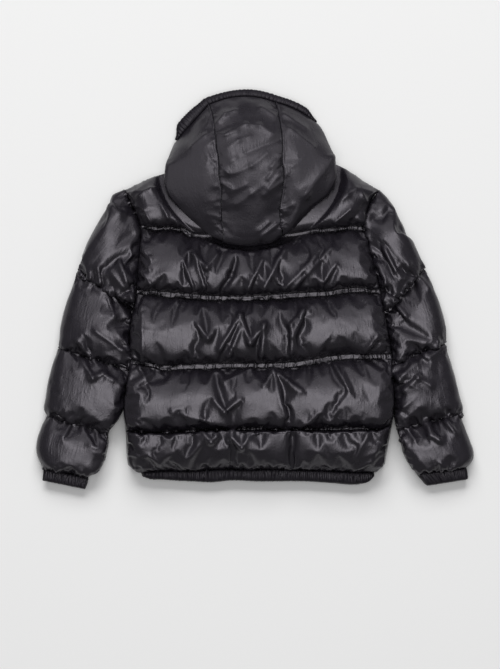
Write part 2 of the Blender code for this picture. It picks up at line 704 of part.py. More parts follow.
def make_hood_center():
    count = len(HOOD_STATIONS["left_y"])
    across = (0.0, 0.07, 0.18, 0.34, 0.5, 0.66, 0.82, 0.93, 1.0)
    rows = [("neck", LAST_BACK_ROW)]
    rows += [("under", r) for r in range(LAST_BACK_ROW, -1, -1)]
    rows += [("turn_under", t) for t in (0.4, 0.85)]
    rows += [("fold", 0)]
    rows += [("turn_over", t) for t in (0.85, 0.4)]
    rows += [("over", r) for r in range(count)]
    outer = np.zeros((len(rows), len(across), 3))
    inner = np.zeros_like(outer)
    for k, (kind, value) in enumerate(rows):
        for c, t in enumerate(across):
            station = value if kind in ("under", "over", "neck") else 0
            left_x = HOOD_STATIONS["left_x"][station]
            right_x = HOOD_STATIONS["right_x"][station]
            x = mix(left_x, right_x, t)
            y = through_three(HOOD_STATIONS["left_y"][station], HOOD_STATIONS["middle_y"][station],
                              HOOD_STATIONS["right_y"][station], t)
            fold_y = smooth(HOOD_FOLD_LINE["x"], HOOD_FOLD_LINE["y"], x)
            fold_z = HOOD_STATIONS["fold_z"][0]
            width = right_x - left_x
            from_seam = min(t, 1.0 - t) * width
            if kind == "over":
                z_in = hood_top(y)
                z = z_in + hood_loft(station, from_seam)
                outer[k, c] = (x, y, z)
                inner[k, c] = (x, y, z_in)
            elif kind in ("under", "neck"):
                y = y if kind == "under" else top_edge("back", x) - 1.0
                z = hood_seat(y) + SEAT_CLEARANCE
                outer[k, c] = (x, y, z)
                inner[k, c] = (x, y, min(z + HOOD_WALL, fold_z - LAYER_GAP))
            else:
                turn = 1.0 if kind == "fold" else value
                angle = turn * math.pi / 2
                high = hood_top(y) + hood_loft(0, from_seam)
                low = hood_seat(y) + SEAT_CLEARANCE
                edge = low if kind == "turn_under" else high
                spot_y = y - (y - fold_y) * math.sin(angle)
                z = fold_z + (edge - fold_z) * math.cos(angle)
                outer[k, c] = (x, spot_y, z)
                side = {"turn_under": -1.0, "fold": 0.0, "turn_over": 1.0}[kind]
                inner[k, c] = (x, y - 2.0 * math.sin(angle), fold_z + side * LAYER_GAP)
    padded_solid("hood_center", outer, inner, "shell", step=1)
    return outer[-1], inner[-1]


def make_hood_binding(edges):
    """Gathered elastic edge along the face opening, from one side of the chin to the other."""
    outside = np.concatenate([edge[0] for edge in edges])
    inside = np.concatenate([edge[1] for edge in edges])
    line = (outside + inside) / 2
    count = len(line)
    outward = np.zeros_like(line)
    for k in range(count):
        ahead = line[min(k + 1, count - 1)] - line[max(k - 1, 0)]
        away = np.array((-ahead[1], ahead[0], 0.0)) * (1.0 if ahead[0] > 0 else -1.0)
        outward[k] = away / max(np.linalg.norm(away), 1e-6)
    for _ in range(2):
        outward[1:-1] = (outward[:-2] + 2 * outward[1:-1] + outward[2:]) / 4
    outward /= np.linalg.norm(outward, axis=1)[:, None]
    reach = np.abs(np.sum((outside - inside) * outward, axis=1)) / 2
    along = np.concatenate(((0.0,), np.cumsum(np.linalg.norm(np.diff(line, axis=0), axis=1))))
    folds = (along[int(np.argmin(line[:, 0]))], along[int(np.argmax(line[:, 0]))])
    half_sizes = []
    for k in range(count):
        shown = min(smoothstep(*BINDING_TURNS[0], along[k] - folds[0]),
                    smoothstep(*BINDING_TURNS[1], folds[1] - along[k]))
        half_sizes.append((mix(BINDING_UNDER, BINDING_HALF_WIDTH, shown),
                           mix(BINDING_UNDER, BINDING_HALF_HEIGHT, shown)))
    half_sizes = np.array(half_sizes)
    center = line + outward * (reach + half_sizes[:, 0] + BINDING_GAP)[:, None]
    pitch = along[-1] / (BINDING_WAVES * 2)
    places = []
    for k in range(count - 1):
        parts = max(1, round((along[k + 1] - along[k]) / pitch))
        places += [k + j / parts for j in range(parts)]
    places.append(count - 1.0)

    def sample(table, place):
        low = min(int(place), count - 2)
        return mix(table[low], table[low + 1], place - low)

    spots = np.array([sample(center, place) for place in places])
    sides = BINDING_SIDES
    points = []
    for k, place in enumerate(places):
        ahead = spots[min(k + 1, len(spots) - 1)] - spots[max(k - 1, 0)]
        side = sample(outward, place)
        side /= np.linalg.norm(side)
        upright = np.cross(ahead, side)
        upright /= np.linalg.norm(upright)
        half_width, half_height = sample(half_sizes, place)
        wave = GATHER_DEPTH / 2 * (0.5 if k % 2 else -0.5)
        for n in range(sides):
            angle = 2 * math.pi * n / sides
            reach_out = half_width + (wave if math.cos(angle) > 0.1 else 0.0)
            points.append(spots[k] + side * reach_out * math.cos(angle)
                          + upright * (half_height + wave) * math.sin(angle))
    last = (len(places) - 1) * sides
    faces = [tuple(range(sides)), tuple(reversed(range(last, last + sides)))]
    for k in range(len(places) - 1):
        for n in range(sides):
            a = k * sides + n
            b = k * sides + (n + 1) % sides
            faces.append((a, b, b + sides, a + sides))
    add_object("hood_binding", points, faces, "elastic")


# ---------------------------------------------------------------- zip

def zip_level(y):
    """Upper face of the zip tapes, just under the back panel's plain side."""
    return middle_height(y) - LAYER_GAP - SEAM_GAP / 2


def make_zip_tape(side):
    sign = -1.0 if side == "left" else 1.0
    section = ((SEAM_GAP / 2, 0.0), (ZIP_HALF_WIDTH, 0.0), (ZIP_HALF_WIDTH, -ZIP_THICKNESS),
               (CHAIN_HALF_WIDTH, -ZIP_THICKNESS), (CHAIN_HALF_WIDTH, -ZIP_THICKNESS - CHAIN_THICKNESS),
               (SEAM_GAP / 2, -ZIP_THICKNESS - CHAIN_THICKNESS))
    stations = (ZIP_TOP, 170, 150, 125, 100, 0, -120, -225, -245, -270, -295, -315, ZIP_END)
    points = [(sign * x, y, zip_level(y) + z) for y in stations for x, z in section]
    sides = len(section)
    last = (len(stations) - 1) * sides
    faces = [tuple(range(sides)), tuple(reversed(range(last, last + sides)))]
    for k in range(len(stations) - 1):
        for n in range(sides):
            a = k * sides + n
            b = k * sides + (n + 1) % sides
            faces.append((a, b, b + sides, a + sides))
    add_object("zip_tape_" + side, points, faces, "tape")


def box_points(center, size):
    """Corners of a box; bit k of a corner's number says which side of axis k it is on."""
    return [tuple(center[k] + ((n >> k & 1) - 0.5) * size[k] for k in range(3)) for n in range(8)]


BOX_FACES = ((0, 2, 3, 1), (4, 5, 7, 6), (0, 1, 5, 4), (2, 6, 7, 3), (0, 4, 6, 2), (1, 3, 7, 5))


def make_box(name, center, size, material, pivot=None):
    return add_object(name, box_points(center, size), BOX_FACES, material, pivot)


def combine(target, other, operation):
    """Boolean of two objects; the second one becomes a hidden guide."""
    change = target.modifiers.new(operation.lower(), "BOOLEAN")
    change.operation = operation
    change.solver = "EXACT"
    change.object = other
    other.hide_render = True
    other.display_type = "WIRE"


def make_slider():
    width, length, thickness = SLIDER_SIZE
    chain_bottom = zip_level(SLIDER_PLACE) - ZIP_THICKNESS - CHAIN_THICKNESS - SLIDER_TILT
    plate_z = chain_bottom - SEAM_GAP - thickness / 2
    plate = make_box("zip_slider", (0, SLIDER_PLACE, plate_z), SLIDER_SIZE, "metal")
    bridge_z = plate_z - thickness / 2 - BRIDGE_SIZE[2] / 2
    bridge = make_box("guide_bridge", (0, SLIDER_PLACE, bridge_z + BRIDGE_SINK / 2),
                      (BRIDGE_SIZE[0], BRIDGE_SIZE[1], BRIDGE_SIZE[2] + BRIDGE_SINK), "metal")
    combine(plate, bridge, "UNION")
    axis_z = plate_z - thickness / 2 - HOLE_ROOM - BRIDGE_HOLE[1] / 2
    hole = make_box("guide_bridge_hole", (0, SLIDER_PLACE, axis_z),
                    (BRIDGE_SIZE[0] * 2, BRIDGE_HOLE[0], BRIDGE_HOLE[1]), "metal")
    combine(plate, hole, "DIFFERENCE")
    bar = TAB_THICKNESS
    tab = make_box("zip_pull", (0, SLIDER_PLACE + bar / 2 - TAB_LENGTH / 2, axis_z),
                   (TAB_WIDTH, TAB_LENGTH, TAB_THICKNESS), "metal", pivot=(0, SLIDER_PLACE, axis_z))
    window = make_box("guide_tab_window", (0, SLIDER_PLACE - bar / 2 - TAB_WINDOW[1] / 2, axis_z),
                      (TAB_WINDOW[0], TAB_WINDOW[1], TAB_THICKNESS * 3), "metal")
    combine(tab, window, "DIFFERENCE")


def main():
    for item in list(bpy.data.objects):
        bpy.data.objects.remove(item, do_unlink=True)
    make_body()
    for side in ("left", "right"):
        make_sleeve(side)
        make_cuff(side)
    make_hem_band()
    center_edge = [points[1:-1] for points in make_hood_center()]
    left_edge = [points[::-1] for points in make_hood_side("left")]
    right_edge = make_hood_side("right")
    make_hood_binding((left_edge, center_edge, right_edge))
    make_zip_tape("left")
    make_zip_tape("right")
    make_slider()


main()
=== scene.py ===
# A child's hooded puffer jacket lying on its front: cloth, padding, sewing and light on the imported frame.
# Sizes are in millimetres on the pattern drawing, +X to the right of the back and +Y towards the hood.
import math

import bmesh
import bpy
import numpy as np
from mathutils import Matrix, Vector


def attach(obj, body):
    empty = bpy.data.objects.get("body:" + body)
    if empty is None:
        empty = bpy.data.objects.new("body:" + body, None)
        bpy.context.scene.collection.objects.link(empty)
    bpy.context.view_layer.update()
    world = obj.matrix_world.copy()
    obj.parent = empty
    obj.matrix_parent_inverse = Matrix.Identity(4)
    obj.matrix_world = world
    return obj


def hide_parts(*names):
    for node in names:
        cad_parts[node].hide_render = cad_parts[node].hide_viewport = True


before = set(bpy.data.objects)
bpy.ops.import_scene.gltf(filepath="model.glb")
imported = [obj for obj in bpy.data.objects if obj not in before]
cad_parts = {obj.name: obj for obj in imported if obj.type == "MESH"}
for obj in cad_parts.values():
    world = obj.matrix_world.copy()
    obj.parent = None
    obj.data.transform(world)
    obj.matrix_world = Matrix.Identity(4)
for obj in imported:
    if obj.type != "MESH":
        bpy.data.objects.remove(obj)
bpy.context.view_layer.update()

print("frame loaded:", len(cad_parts), "nodes")

mm = 0.001
drawingMiddle = np.array((0.9, -0.2, 0.0))   # the drawing's point that lies at the frame's origin
rigidBody = "jacket"
pullBody = "pull"

cut = {                          # what the whole garment shares
    "spacing": 3.5,              # between the points of the simulated cloth
    "seamGap": 0.3,
    "layerGap": 0.75,            # between the garment's middle level and the lining of each layer
    "seamThickness": 5.0,
    "sag": (1.3, 1.85, 1.3, 1.7, 0.42),     # of each baffle; over 1 puts its fullest part below its middle
    "flatness": (3.6, 3.8, 3.2, 4.6, 3.0),  # of each baffle; 2 is round and more is flatter
    "fill": 0.86,                # share of the padding's height before it is let out
}
sideSign = {"left": -1.0, "right": 1.0}
noise = {
    "lattice": 64,               # random heights along each side of the noise before they repeat
    "shift": (7.3, 3.1),
}


def blend(a, b, t):
    return a + (b - a) * t


def ease(low, high, value):
    t = np.clip((value - low) / (high - low), 0.0, 1.0)
    return t * t * (3 - 2 * t)


# rises as a quarter circle from 0 at an edge to 1 at its reach
def quarterRound(distance, reach):
    t = np.clip(distance / reach, 0.0, 1.0)
    return np.sqrt(1.0 - (1.0 - t) ** 2)


# smooth curve through a short table, read at one value or at many
def readCurve(places, levels, value):
    x = np.asarray(places, dtype=float)
    y = np.asarray(levels, dtype=float)
    if x[0] > x[-1]:
        x, y = x[::-1], y[::-1]
    v = np.clip(value, x[0], x[-1])
    slope = np.gradient(y, x)
    k = np.clip(np.searchsorted(x, v) - 1, 0, len(x) - 2)
    width = x[k + 1] - x[k]
    t = (v - x[k]) / width
    return (y[k] * (1 + 2 * t) * (1 - t) ** 2 + y[k + 1] * t * t * (3 - 2 * t)
            + slope[k] * width * t * (1 - t) ** 2 - slope[k + 1] * width * t * t * (1 - t))


# soft random hills between -1 and 1, the same each run
def softNoise(x, y, size, seed):
    count = noise["lattice"]
    lattice = np.random.default_rng(seed).uniform(-1.0, 1.0, (count, count))
    u, v = np.asarray(x) / size + noise["shift"][0], np.asarray(y) / size + noise["shift"][1]
    i, j = np.floor(u).astype(int), np.floor(v).astype(int)
    fu, fv = ease(0.0, 1.0, u - i), ease(0.0, 1.0, v - j)

    def at(a, b):
        return lattice[a % count, b % count]

    return blend(blend(at(i, j), at(i + 1, j), fu), blend(at(i, j + 1), at(i + 1, j + 1), fu), fv)


# directions, each made one long
def unit(vectors, least=1e-6):
    return vectors / np.maximum(np.linalg.norm(vectors, axis=-1, keepdims=True), least)


# length of a line from its start to each of its points
def lengthAlong(line):
    return np.concatenate(([0.0], np.cumsum(np.linalg.norm(np.diff(line, axis=0), axis=-1))))


# values along a line, each drawn towards its neighbours, with both ends kept
def smoothedOnce(values):
    return np.concatenate((values[:1], (values[:-2] + 2 * values[1:-1] + values[2:]) / 4, values[-1:]))


# four-cornered faces over a grid of point numbers
def gridFaces(k):
    return np.stack((k[:-1, :-1], k[1:, :-1], k[1:, 1:], k[:-1, 1:]), axis=-1).reshape(-1, 4)


def addObject(name, data):
    item = bpy.data.objects.new(name, data)
    bpy.context.collection.objects.link(item)
    return item


# height of a baffle down its length, from 0 at its seams to 1 at its fullest
def bafflePuff(share, k):
    return math.sqrt(max(0.0, 1.0 - abs(2.0 * share ** cut["sag"][k] - 1.0) ** cut["flatness"][k]))


# places from 0 to 1, a little closer together at both ends
def crowdedSteps(count):
    t = np.linspace(0.0, 1.0, count + 1)
    return 0.5 * t + 0.25 * (1.0 - np.cos(math.pi * t))


bodyCut = {
    "sideY":   (168, 145, 125, 100, 75, 50, 20, -5, -25, -50, -85, -118, -150, -190, -215,
                -240, -262, -285, -303, -313),
    "leftX":   (-222, -211, -202, -194, -194, -197, -200, -202, -204, -209, -212, -211, -215,
                -221, -222, -219, -218, -217, -213, -200),
    "rightX":  (211, 197, 191, 190, 194, 200, 208, 214, 217, 222, 228, 233, 235, 237, 235,
                231, 227, 223, 218, 206),
    "topX":    (-222, -188, -156, -110, -72, -45, 0, 45, 80, 110, 138, 167, 185, 211),
    "backTop": (168, 184, 196, 207, 214, 204, 199, 205, 221, 218, 212, 197, 184, 168),
    "frontTop": (168, 184, 196, 207, 214, 165, 150, 165, 221, 218, 212, 197, 184, 168),
    "shoulderY": 168.0,
    "underarmY": -25.0,
    "sideShy": 0.15,             # each piece stops this far from the line that two share
    "slant": 1.6,                # lean of a side seam's two walls, so that nothing shows between them
    "loft": {"back": 27.0, "front": 26.0},
    "edgeRound": 28.0,
    "edgeFullness": {"side": 0.15, "zip": 0.4},  # share of the padding's height that is left at an edge
    "edgeSeam": 0.8,             # share of the seam's thickness that is left at a side edge
    "bandWidth": (4.2, 7.0, 7.4),                # flat strips between two rows of stitching below the seams
    "bandRows": (0.0, 0.33, 0.67),
    "zipEdge": 9.3,
    "height": (112.0, 112.0, 112.0, 112.0, 72.0),    # of each baffle, for the count of its rows
    "width": {"back": 430.0, "front": 205.0},        # for the count of a panel's columns
    "sideStart": {"left": -210.0, "right": 215.0},   # where the search for a row's ends begins
}
hoodCover = {                    # part of the back that the hood lies on
    "center": (-8.0, 190.0),
    "reach": (150.0, 120.0),
    "squareness": 1.8,
    "fade": (1.04, 1.24),        # where it begins and ends to let the back rise, in shares of its reach
    "pinned": (0.7, 1.0),
}
quiltSeams = (                   # across the body from the top, the last one at the hem band
    {"x": (-194, -170, -124, -104, -60, 0, 66, 95, 121, 167, 190),
     "y": (109, 105, 103, 94, 93, 93, 94, 99, 102, 106, 104), "band": True},
    {"x": (-203, -174, -106, -62, -8, 57, 122, 176, 213),
     "y": (-1, -4, -9.5, -12, -12.5, -8.5, -4.5, 1.5, 0), "band": True},
    {"x": (-211, -187, -147, -123, -62, -8, 65, 106, 146, 187, 232),
     "y": (-120, -123, -131, -129, -128, -127, -125, -119, -112.5, -111, -111), "band": True},
    {"x": (-218, -140, -91, -26, 56, 116, 171, 216, 231),
     "y": (-243.5, -244.5, -241, -239, -239, -239.5, -238, -237, -232), "band": False},
    {"x": (-200, -156, -107, -59, -10, 57, 97, 138, 206),
     "y": (-313, -310, -309.5, -307.5, -308, -307, -309, -311, -313), "band": False},
)
middleHeight = {
    "y": (230, 205, 160, 100, -235, -315, -345),
    "z": (12.5, 13, 17, 20.5, 20.5, 10.5, 9.5),
}
hoodSeat = {"y": (230, 205, 190, 166, 141, 70), "z": (18.8, 18.8, 23.0, 33.5, 39.8, 39.8)}


def middleLevel(y):
    return readCurve(middleHeight["y"], middleHeight["z"], y)


def seatLevel(y):
    return readCurve(hoodSeat["y"], hoodSeat["z"], y)


def bodySide(side, y):
    return readCurve(bodyCut["sideY"], bodyCut[side + "X"], y)


def seamLine(index, x):
    return readCurve(quiltSeams[index]["x"], quiltSeams[index]["y"], x)


# 1 well inside the part of the back that the hood covers, 0 outside it
def underHood(x, y):
    centerX, centerY = hoodCover["center"]
    reachX, reachY = hoodCover["reach"]
    aside = np.abs((x - centerX) / reachX) ** hoodCover["squareness"]
    below = np.abs((np.minimum(y, centerY) - centerY) / reachY) ** hoodCover["squareness"]
    return 1.0 - ease(*hoodCover["fade"], aside + below)


# rows of the body: baffle, drop below its upper seam, share of the way down; stitched where that is 0 or 1
def bodyRows():
    rows = []
    for k in range(len(quiltSeams)):
        drop = 0.0
        if k > 0 and quiltSeams[k - 1]["band"]:
            drop = bodyCut["bandWidth"][k - 1]
            rows += [(k, drop * share, 0.0) for share in bodyCut["bandRows"]]
        steps = crowdedSteps(round(bodyCut["height"][k] / cut["spacing"]))
        rows += [(k, drop, share) for share in steps[:-1]]
    rows.append((len(quiltSeams) - 1, 0.0, 1.0))
    return rows


# outer and inner points of a body panel; a limit of None is the panel's side edge
def bodyPanel(layer, leftLimit, rightLimit):
    rows = bodyRows()
    across = np.linspace(0.0, 1.0, round(bodyCut["width"][layer] / cut["spacing"]) + 1)
    sideFullness, zipFullness = bodyCut["edgeFullness"]["side"], bodyCut["edgeFullness"]["zip"]
    up = 1.0 if layer == "back" else -1.0
    outer, inner, held = [], [], []
    for k, drop, share in rows:
        ends = []
        for side in ("left", "right"):
            endX = bodyCut["sideStart"][side]
            for _ in range(3):   # seams and sides both slope, so the end is neared in steps
                upper = bodyCut["shoulderY"] if k == 0 else seamLine(k - 1, endX)
                endX = bodySide(side, blend(upper - drop, seamLine(k, endX), share))
            ends.append(endX)
        start = ends[0] + bodyCut["sideShy"] if leftLimit is None else leftLimit
        stop = ends[1] - bodyCut["sideShy"] if rightLimit is None else rightLimit
        x = blend(start, stop, across)
        upper = readCurve(bodyCut["topX"], bodyCut[layer + "Top"], x) if k == 0 else seamLine(k - 1, x)
        y = blend(upper - drop, seamLine(k, x), share)
        far = np.full_like(x, 99.0)      # where the panel has no such edge
        fromSide = np.minimum(x - ends[0] if leftLimit is None else far,
                              ends[1] - x if rightLimit is None else far)
        fromZip = np.minimum(x - start if leftLimit is not None else far,
                             stop - x if rightLimit is not None else far)
        fullness = blend(sideFullness, 1.0, quarterRound(fromSide, bodyCut["edgeRound"]))
        fullness = fullness * blend(zipFullness, 1.0, quarterRound(fromZip, bodyCut["edgeRound"]))
        puff = bafflePuff(share, k) * cut["fill"]
        seam = cut["seamThickness"]
        thickness = seam * blend(bodyCut["edgeSeam"], 1.0, fullness)
        thickness = thickness + (bodyCut["loft"][layer] - seam) * puff * fullness
        level = middleLevel(y)
        z = level + up * (cut["layerGap"] + thickness)
        if layer == "back":
            pressed = np.minimum(z, seatLevel(y))
            z = blend(z, pressed, underHood(x, y))
        outer.append(np.stack((x, y, z), axis=-1))
        xIn = x - bodyCut["slant"] * (np.arange(len(x)) == 0) * (leftLimit is None)
        xIn = xIn + bodyCut["slant"] * (np.arange(len(x)) == len(x) - 1) * (rightLimit is None)
        inner.append(np.stack((xIn, y, level + up * cut["layerGap"] + 0 * x), axis=-1))
        weight = np.zeros_like(x)
        weight[[0, -1]] = 1.0
        if share in (0.0, 1.0):
            weight[:] = 1.0
        if layer == "back":
            weight = np.maximum(weight, ease(*hoodCover["pinned"], underHood(x, y)))
        held.append(weight)
    return np.array(outer), np.array(inner), np.array(held)


sleeveCut = {
    "outerY":  (168, 163, 149, 119, 73, 34, 5, -28, -62, -98, -133, -155, -186, -204, -215,
                -235, -260, -274, -288, -306),
    "outerLeft":  (-222, -236, -246, -263, -287, -300, -311, -323, -331, -335, -346, -352, -357,
                   -359, -355, -364, -372, -373, -370, -360),
    "outerRight": (211, 218, 230, 249, 275, 290, 303, 316, 324, 326, 337, 343, 350,
                   354, 351, 358, 368, 373, 373, 360),
    "innerY":  (-25, -50, -85, -118, -150, -190, -205, -225, -245, -262, -279, -300, -312, -321),
    "innerLeft":  (-204, -209, -212, -211, -215, -221, -224, -234, -249, -250, -253, -260, -268, -285),
    "innerRight": (217, 222, 228, 233, 235, 238, 238, 239, 244, 249, 254, 264, 274, 287),
    "levelAlong": (0.0, 0.25, 0.8, 1.0),
    "level":      (17.0, 17.0, 13.0, 9.0),
    "levelJoin": 0.25,           # share of its length over which it leaves the body's level
    "bodyTo": -205.0,            # its inner edge lies along the body down to here
    "loft": 24.0,
    "edgeRound": 23.0,
    "edgeFullness": 0.2,         # share of the padding's height that is left at its inner edge
    "foldWall": 11.0,
    "foldWallShare": 0.12,       # the wall at the fold is at most this share of the sleeve's width
    "armholeCurve": 1.5,         # how soon the rows below the armhole straighten
    "cornerHold": (12.0, 48.0),  # from the shoulder's corner, where the cloth keeps its pattern's shape
    "width": 125.0,              # for the count of its columns
    "rowSpacing": 1.05,          # share of the common count of rows
    "leastRows": 20,
}
sleeveSeams = {                  # armhole, three quilting seams, cuff
    "left":  {"outerY": (168, 34, -100, -215, -306), "innerY": (-25, -33, -137, -246, -321)},
    "right": {"outerY": (168, 36, -90, -213, -304), "innerY": (-25, -38, -128, -240, -314)},
}


def sleeveEdge(side, edge, y):
    x = readCurve(sleeveCut[edge + "Y"], sleeveCut[edge + side.capitalize()], y)
    if edge == "inner" and y > sleeveCut["bodyTo"]:
        x = bodySide(side, y)
    return np.array((x, y))


def sleeveRows(side):
    seams = sleeveSeams[side]
    rows = []
    count = len(seams["outerY"]) - 1
    for k in range(count):
        outerTop, outerEnd = seams["outerY"][k:k + 2]
        innerTop, innerEnd = seams["innerY"][k:k + 2]
        length = 0.5 * (outerTop - outerEnd + innerTop - innerEnd)
        steps = round(length * sleeveCut["rowSpacing"] / cut["spacing"])
        steps = crowdedSteps(max(sleeveCut["leastRows"], steps))
        last = k == count - 1
        for n, s in enumerate(steps if last else steps[:-1]):
            rows.append({
                "outer": sleeveEdge(side, "outer", blend(outerTop, outerEnd, s)),
                "inner": sleeveEdge(side, "inner", blend(innerTop, innerEnd, s)),
                "puff": bafflePuff(s, k),
                "along": (k + s) / count,
                "armhole": (1.0 - s) ** sleeveCut["armholeCurve"] if k == 0 else 0.0,
                "stitched": n == 0 or (last and n == len(steps) - 1),
            })
    return rows


# x and y across one sleeve row, from its outer edge at 0 to its inner edge at 1
def sleeveSpot(side, rows, row, share):
    share = np.asarray(share, dtype=float)[:, None]
    spot = blend(row["outer"], row["inner"], share)
    if row["armhole"] > 0.0:
        y = blend(bodyCut["shoulderY"], bodyCut["underarmY"], share[:, 0])
        line = np.stack((bodySide(side, y), y), axis=-1)
        spot = spot + (line - blend(rows[0]["outer"], rows[0]["inner"], share)) * row["armhole"]
    spot[:, 0] += sideSign[side] * bodyCut["sideShy"]
    return spot


# one wall wrapped round: over the back, round the outer fold and back underneath
def sleeveWall(side):
    rows = sleeveRows(side)
    steps = crowdedSteps(round(sleeveCut["width"] / cut["spacing"]))
    share = np.concatenate((steps[::-1], steps[1:]))
    up = np.concatenate((np.ones(len(steps)), -np.ones(len(steps) - 1)))
    outer, inner, held = [], [], []
    for row in rows:
        length = float(np.linalg.norm(row["inner"] - row["outer"]))
        spot = sleeveSpot(side, rows, row, share)
        own = readCurve(sleeveCut["levelAlong"], sleeveCut["level"], row["along"])
        ownShare = ease(0.0, sleeveCut["levelJoin"], row["along"])
        level = blend(middleLevel(spot[:, 1]), own, ownShare)
        fullness = quarterRound((1.0 - share) * length, sleeveCut["edgeRound"])
        fullness = blend(sleeveCut["edgeFullness"], 1.0, fullness)
        loft = (sleeveCut["loft"] - cut["seamThickness"]) * row["puff"] * cut["fill"]
        height = cut["layerGap"] + cut["seamThickness"] + loft * fullness
        height = height * quarterRound(share * length, sleeveCut["edgeRound"])
        outer.append(np.column_stack((spot, level + up * height)))
        wall = min(sleeveCut["foldWall"], length * sleeveCut["foldWallShare"])
        spot = sleeveSpot(side, rows, row, (wall + (length - wall) * share) / length)
        level = blend(middleLevel(spot[:, 1]), own, ownShare)
        spot[:, 0] += sideSign[side] * bodyCut["slant"] * (share == 1.0)
        inner.append(np.column_stack((spot, level + up * cut["layerGap"] * (share > 0.0))))
        weight = np.full(len(share), 1.0 if row["stitched"] else 0.0)
        fromCorner = np.linalg.norm(outer[-1][:, :2] - rows[0]["outer"], axis=1)
        weight = np.maximum(weight, 1.0 - ease(*sleeveCut["cornerHold"], fromCorner))
        weight[[0, -1]] = 1.0
        held.append(weight)
    return np.array(outer), np.array(inner), np.array(held)


hoodCut = {                      # stations from the lowest fold up to the face opening
    "leftX":   (-54.5, -55, -57, -58, -57, -61, -62, -66, -68, -70, -74, -78),
    "leftY":   (95, 106, 121, 141, 166, 190, 215, 240, 262, 282, 300, 313),
    "middleY": (88, 100, 117, 139, 165, 191, 217, 243, 267, 290, 310, 328),
    "rightX":  (46.5, 46, 43.5, 44.5, 48, 50, 47, 48, 46.5, 43, 40, 36),
    "rightY":  (103, 112, 125, 143, 167, 191, 216, 240, 263, 285, 303, 317),
    "underZ":  (0, 0, 0, 0, 0, 0, 20.5, 1.8, 1.8, 1.8, 1.8, 1.8),
    "foldZ":   (47, 47, 47, 47, 46, 43, 39, 33, 26, 20, 14, 9.5),
    "fill":    (1.0, 1.0, 1.0, 1.0, 1.0, 1.0, 1.0, 1.0, 1.0, 0.95, 0.8, 0.42),
    "foldLineX": (-54.5, -31, 2, 30, 46.5),
    "foldLineY": (79, 73, 73, 78, 88),
    "topY": (70, 100, 130, 160, 190, 220, 250, 280, 305, 320, 330),
    "topZ": (48.0, 48.5, 50.0, 53.0, 54.5, 52.0, 45.5, 33, 19, 12, 9),
    "paddingY": (70, 110, 150, 185, 330),
    "padding": (0.42, 0.6, 0.9, 1.0, 1.0),
    "loft": 16.0,
    "seamFill": 0.4,             # share of the padding's height that is left at the hood's seams
    "seamReach": 30.0,           # from a seam to the full height
    "bow": {"left": 0.0, "right": 5.0},      # of each side's edge at the face opening
    "bowStations": 2.0,
    "sideSlope": 0.6,            # how straight the sides fall towards their folds
    "foldRound": {               # reach of each curve at a side's fold, in its lowest row and in the others
        "over": (14.0, 34.0),
        "under": (12.0, 16.0),
        "inside": (3.0, 30.0),
    },
    "insideUnderRound": 18.0,
    "overShare": 0.95,           # the upper curve reaches at least over this share of the side's width
    "wall": 6.5,
    "thinnest": 3.0,
    "foldWall": 12.0,
    "foldWallShare": 0.75,       # the wall at a fold is at most this share of the side's width
    "turnUnder": (0.4, 0.8),     # steps round the lowest fold, in shares of a right angle
    "turnOver": (0.88, 0.72, 0.54, 0.36, 0.18),
    "foldShy": 2.0,              # the lining stops this far from the lowest fold
    "neckShy": 1.0,
    "seatClearance": 1.0,
    "lastBackStation": 5,
    "rows": 67,
    "sideColumns": (28, 30),     # over the hood and under its fold
    "centerColumns": 30,
}
hoodSides = {                    # outline, bend and hidden edge of each side, a row for each station
    "left": {
        "fold":  ((-54.5, 79), (-78, 92), (-106, 115), (-129, 138), (-147, 160), (-153, 183),
                  (-152, 206), (-150, 216), (-147, 224), (-144, 232), (-141, 240), (-138, 248)),
        "via":   ((-54.5, 87), (-66, 99), (-82, 118), (-94, 140), (-102, 163), (-108, 187),
                  (-104, 232), (-82, 252), (-64, 284), (-52, 296), (-38, 304), (-48, 306)),
        "end":   ((-54.5, 95), (-55, 106), (-57, 121), (-58, 141), (-57, 166), (-61, 190),
                  (-79, 219), (-72, 221), (-62, 205), (-43, 175), (-10, 156), (-10, 188)),
    },
    "right": {
        "fold":  ((46.5, 88), (65, 103), (86, 124), (107, 145), (126, 163), (138, 188),
                  (136, 216), (133, 228), (129, 240), (124, 253), (118, 267), (110, 280)),
        "via":   ((46.5, 95), (56, 108), (65, 125), (76, 144), (86, 165), (94, 190),
                  (110, 236), (96, 260), (73, 292), (60, 305), (44, 314), (52, 319)),
        "end":   ((46.5, 103), (46, 112), (43.5, 125), (44.5, 143), (48, 167), (50, 191),
                  (87, 227), (80, 229), (67, 211), (47, 180), (10, 156), (10, 188)),
    },
}


def station(values, place):
    return readCurve(range(len(values)), values, place)


def stationPoint(points, place):
    return np.array([station([p[axis] for p in points], place) for axis in (0, 1)])


def hoodTop(y):
    return readCurve(hoodCut["topY"], hoodCut["topZ"], y)


def hoodPadding(place, fromSeam, y):
    fullness = blend(hoodCut["seamFill"], 1.0, quarterRound(fromSeam, hoodCut["seamReach"]))
    share = station(hoodCut["fill"], place) * fullness
    loft = hoodCut["loft"] * readCurve(hoodCut["paddingY"], hoodCut["padding"], y)
    return blend(cut["seamThickness"], loft, share)


# quadratic curve from start to stop that leans towards a third point
def bentLine(start, via, stop, t):
    t = t[:, None]
    return (1 - t) ** 2 * start + 2 * t * (1 - t) * via + t ** 2 * stop


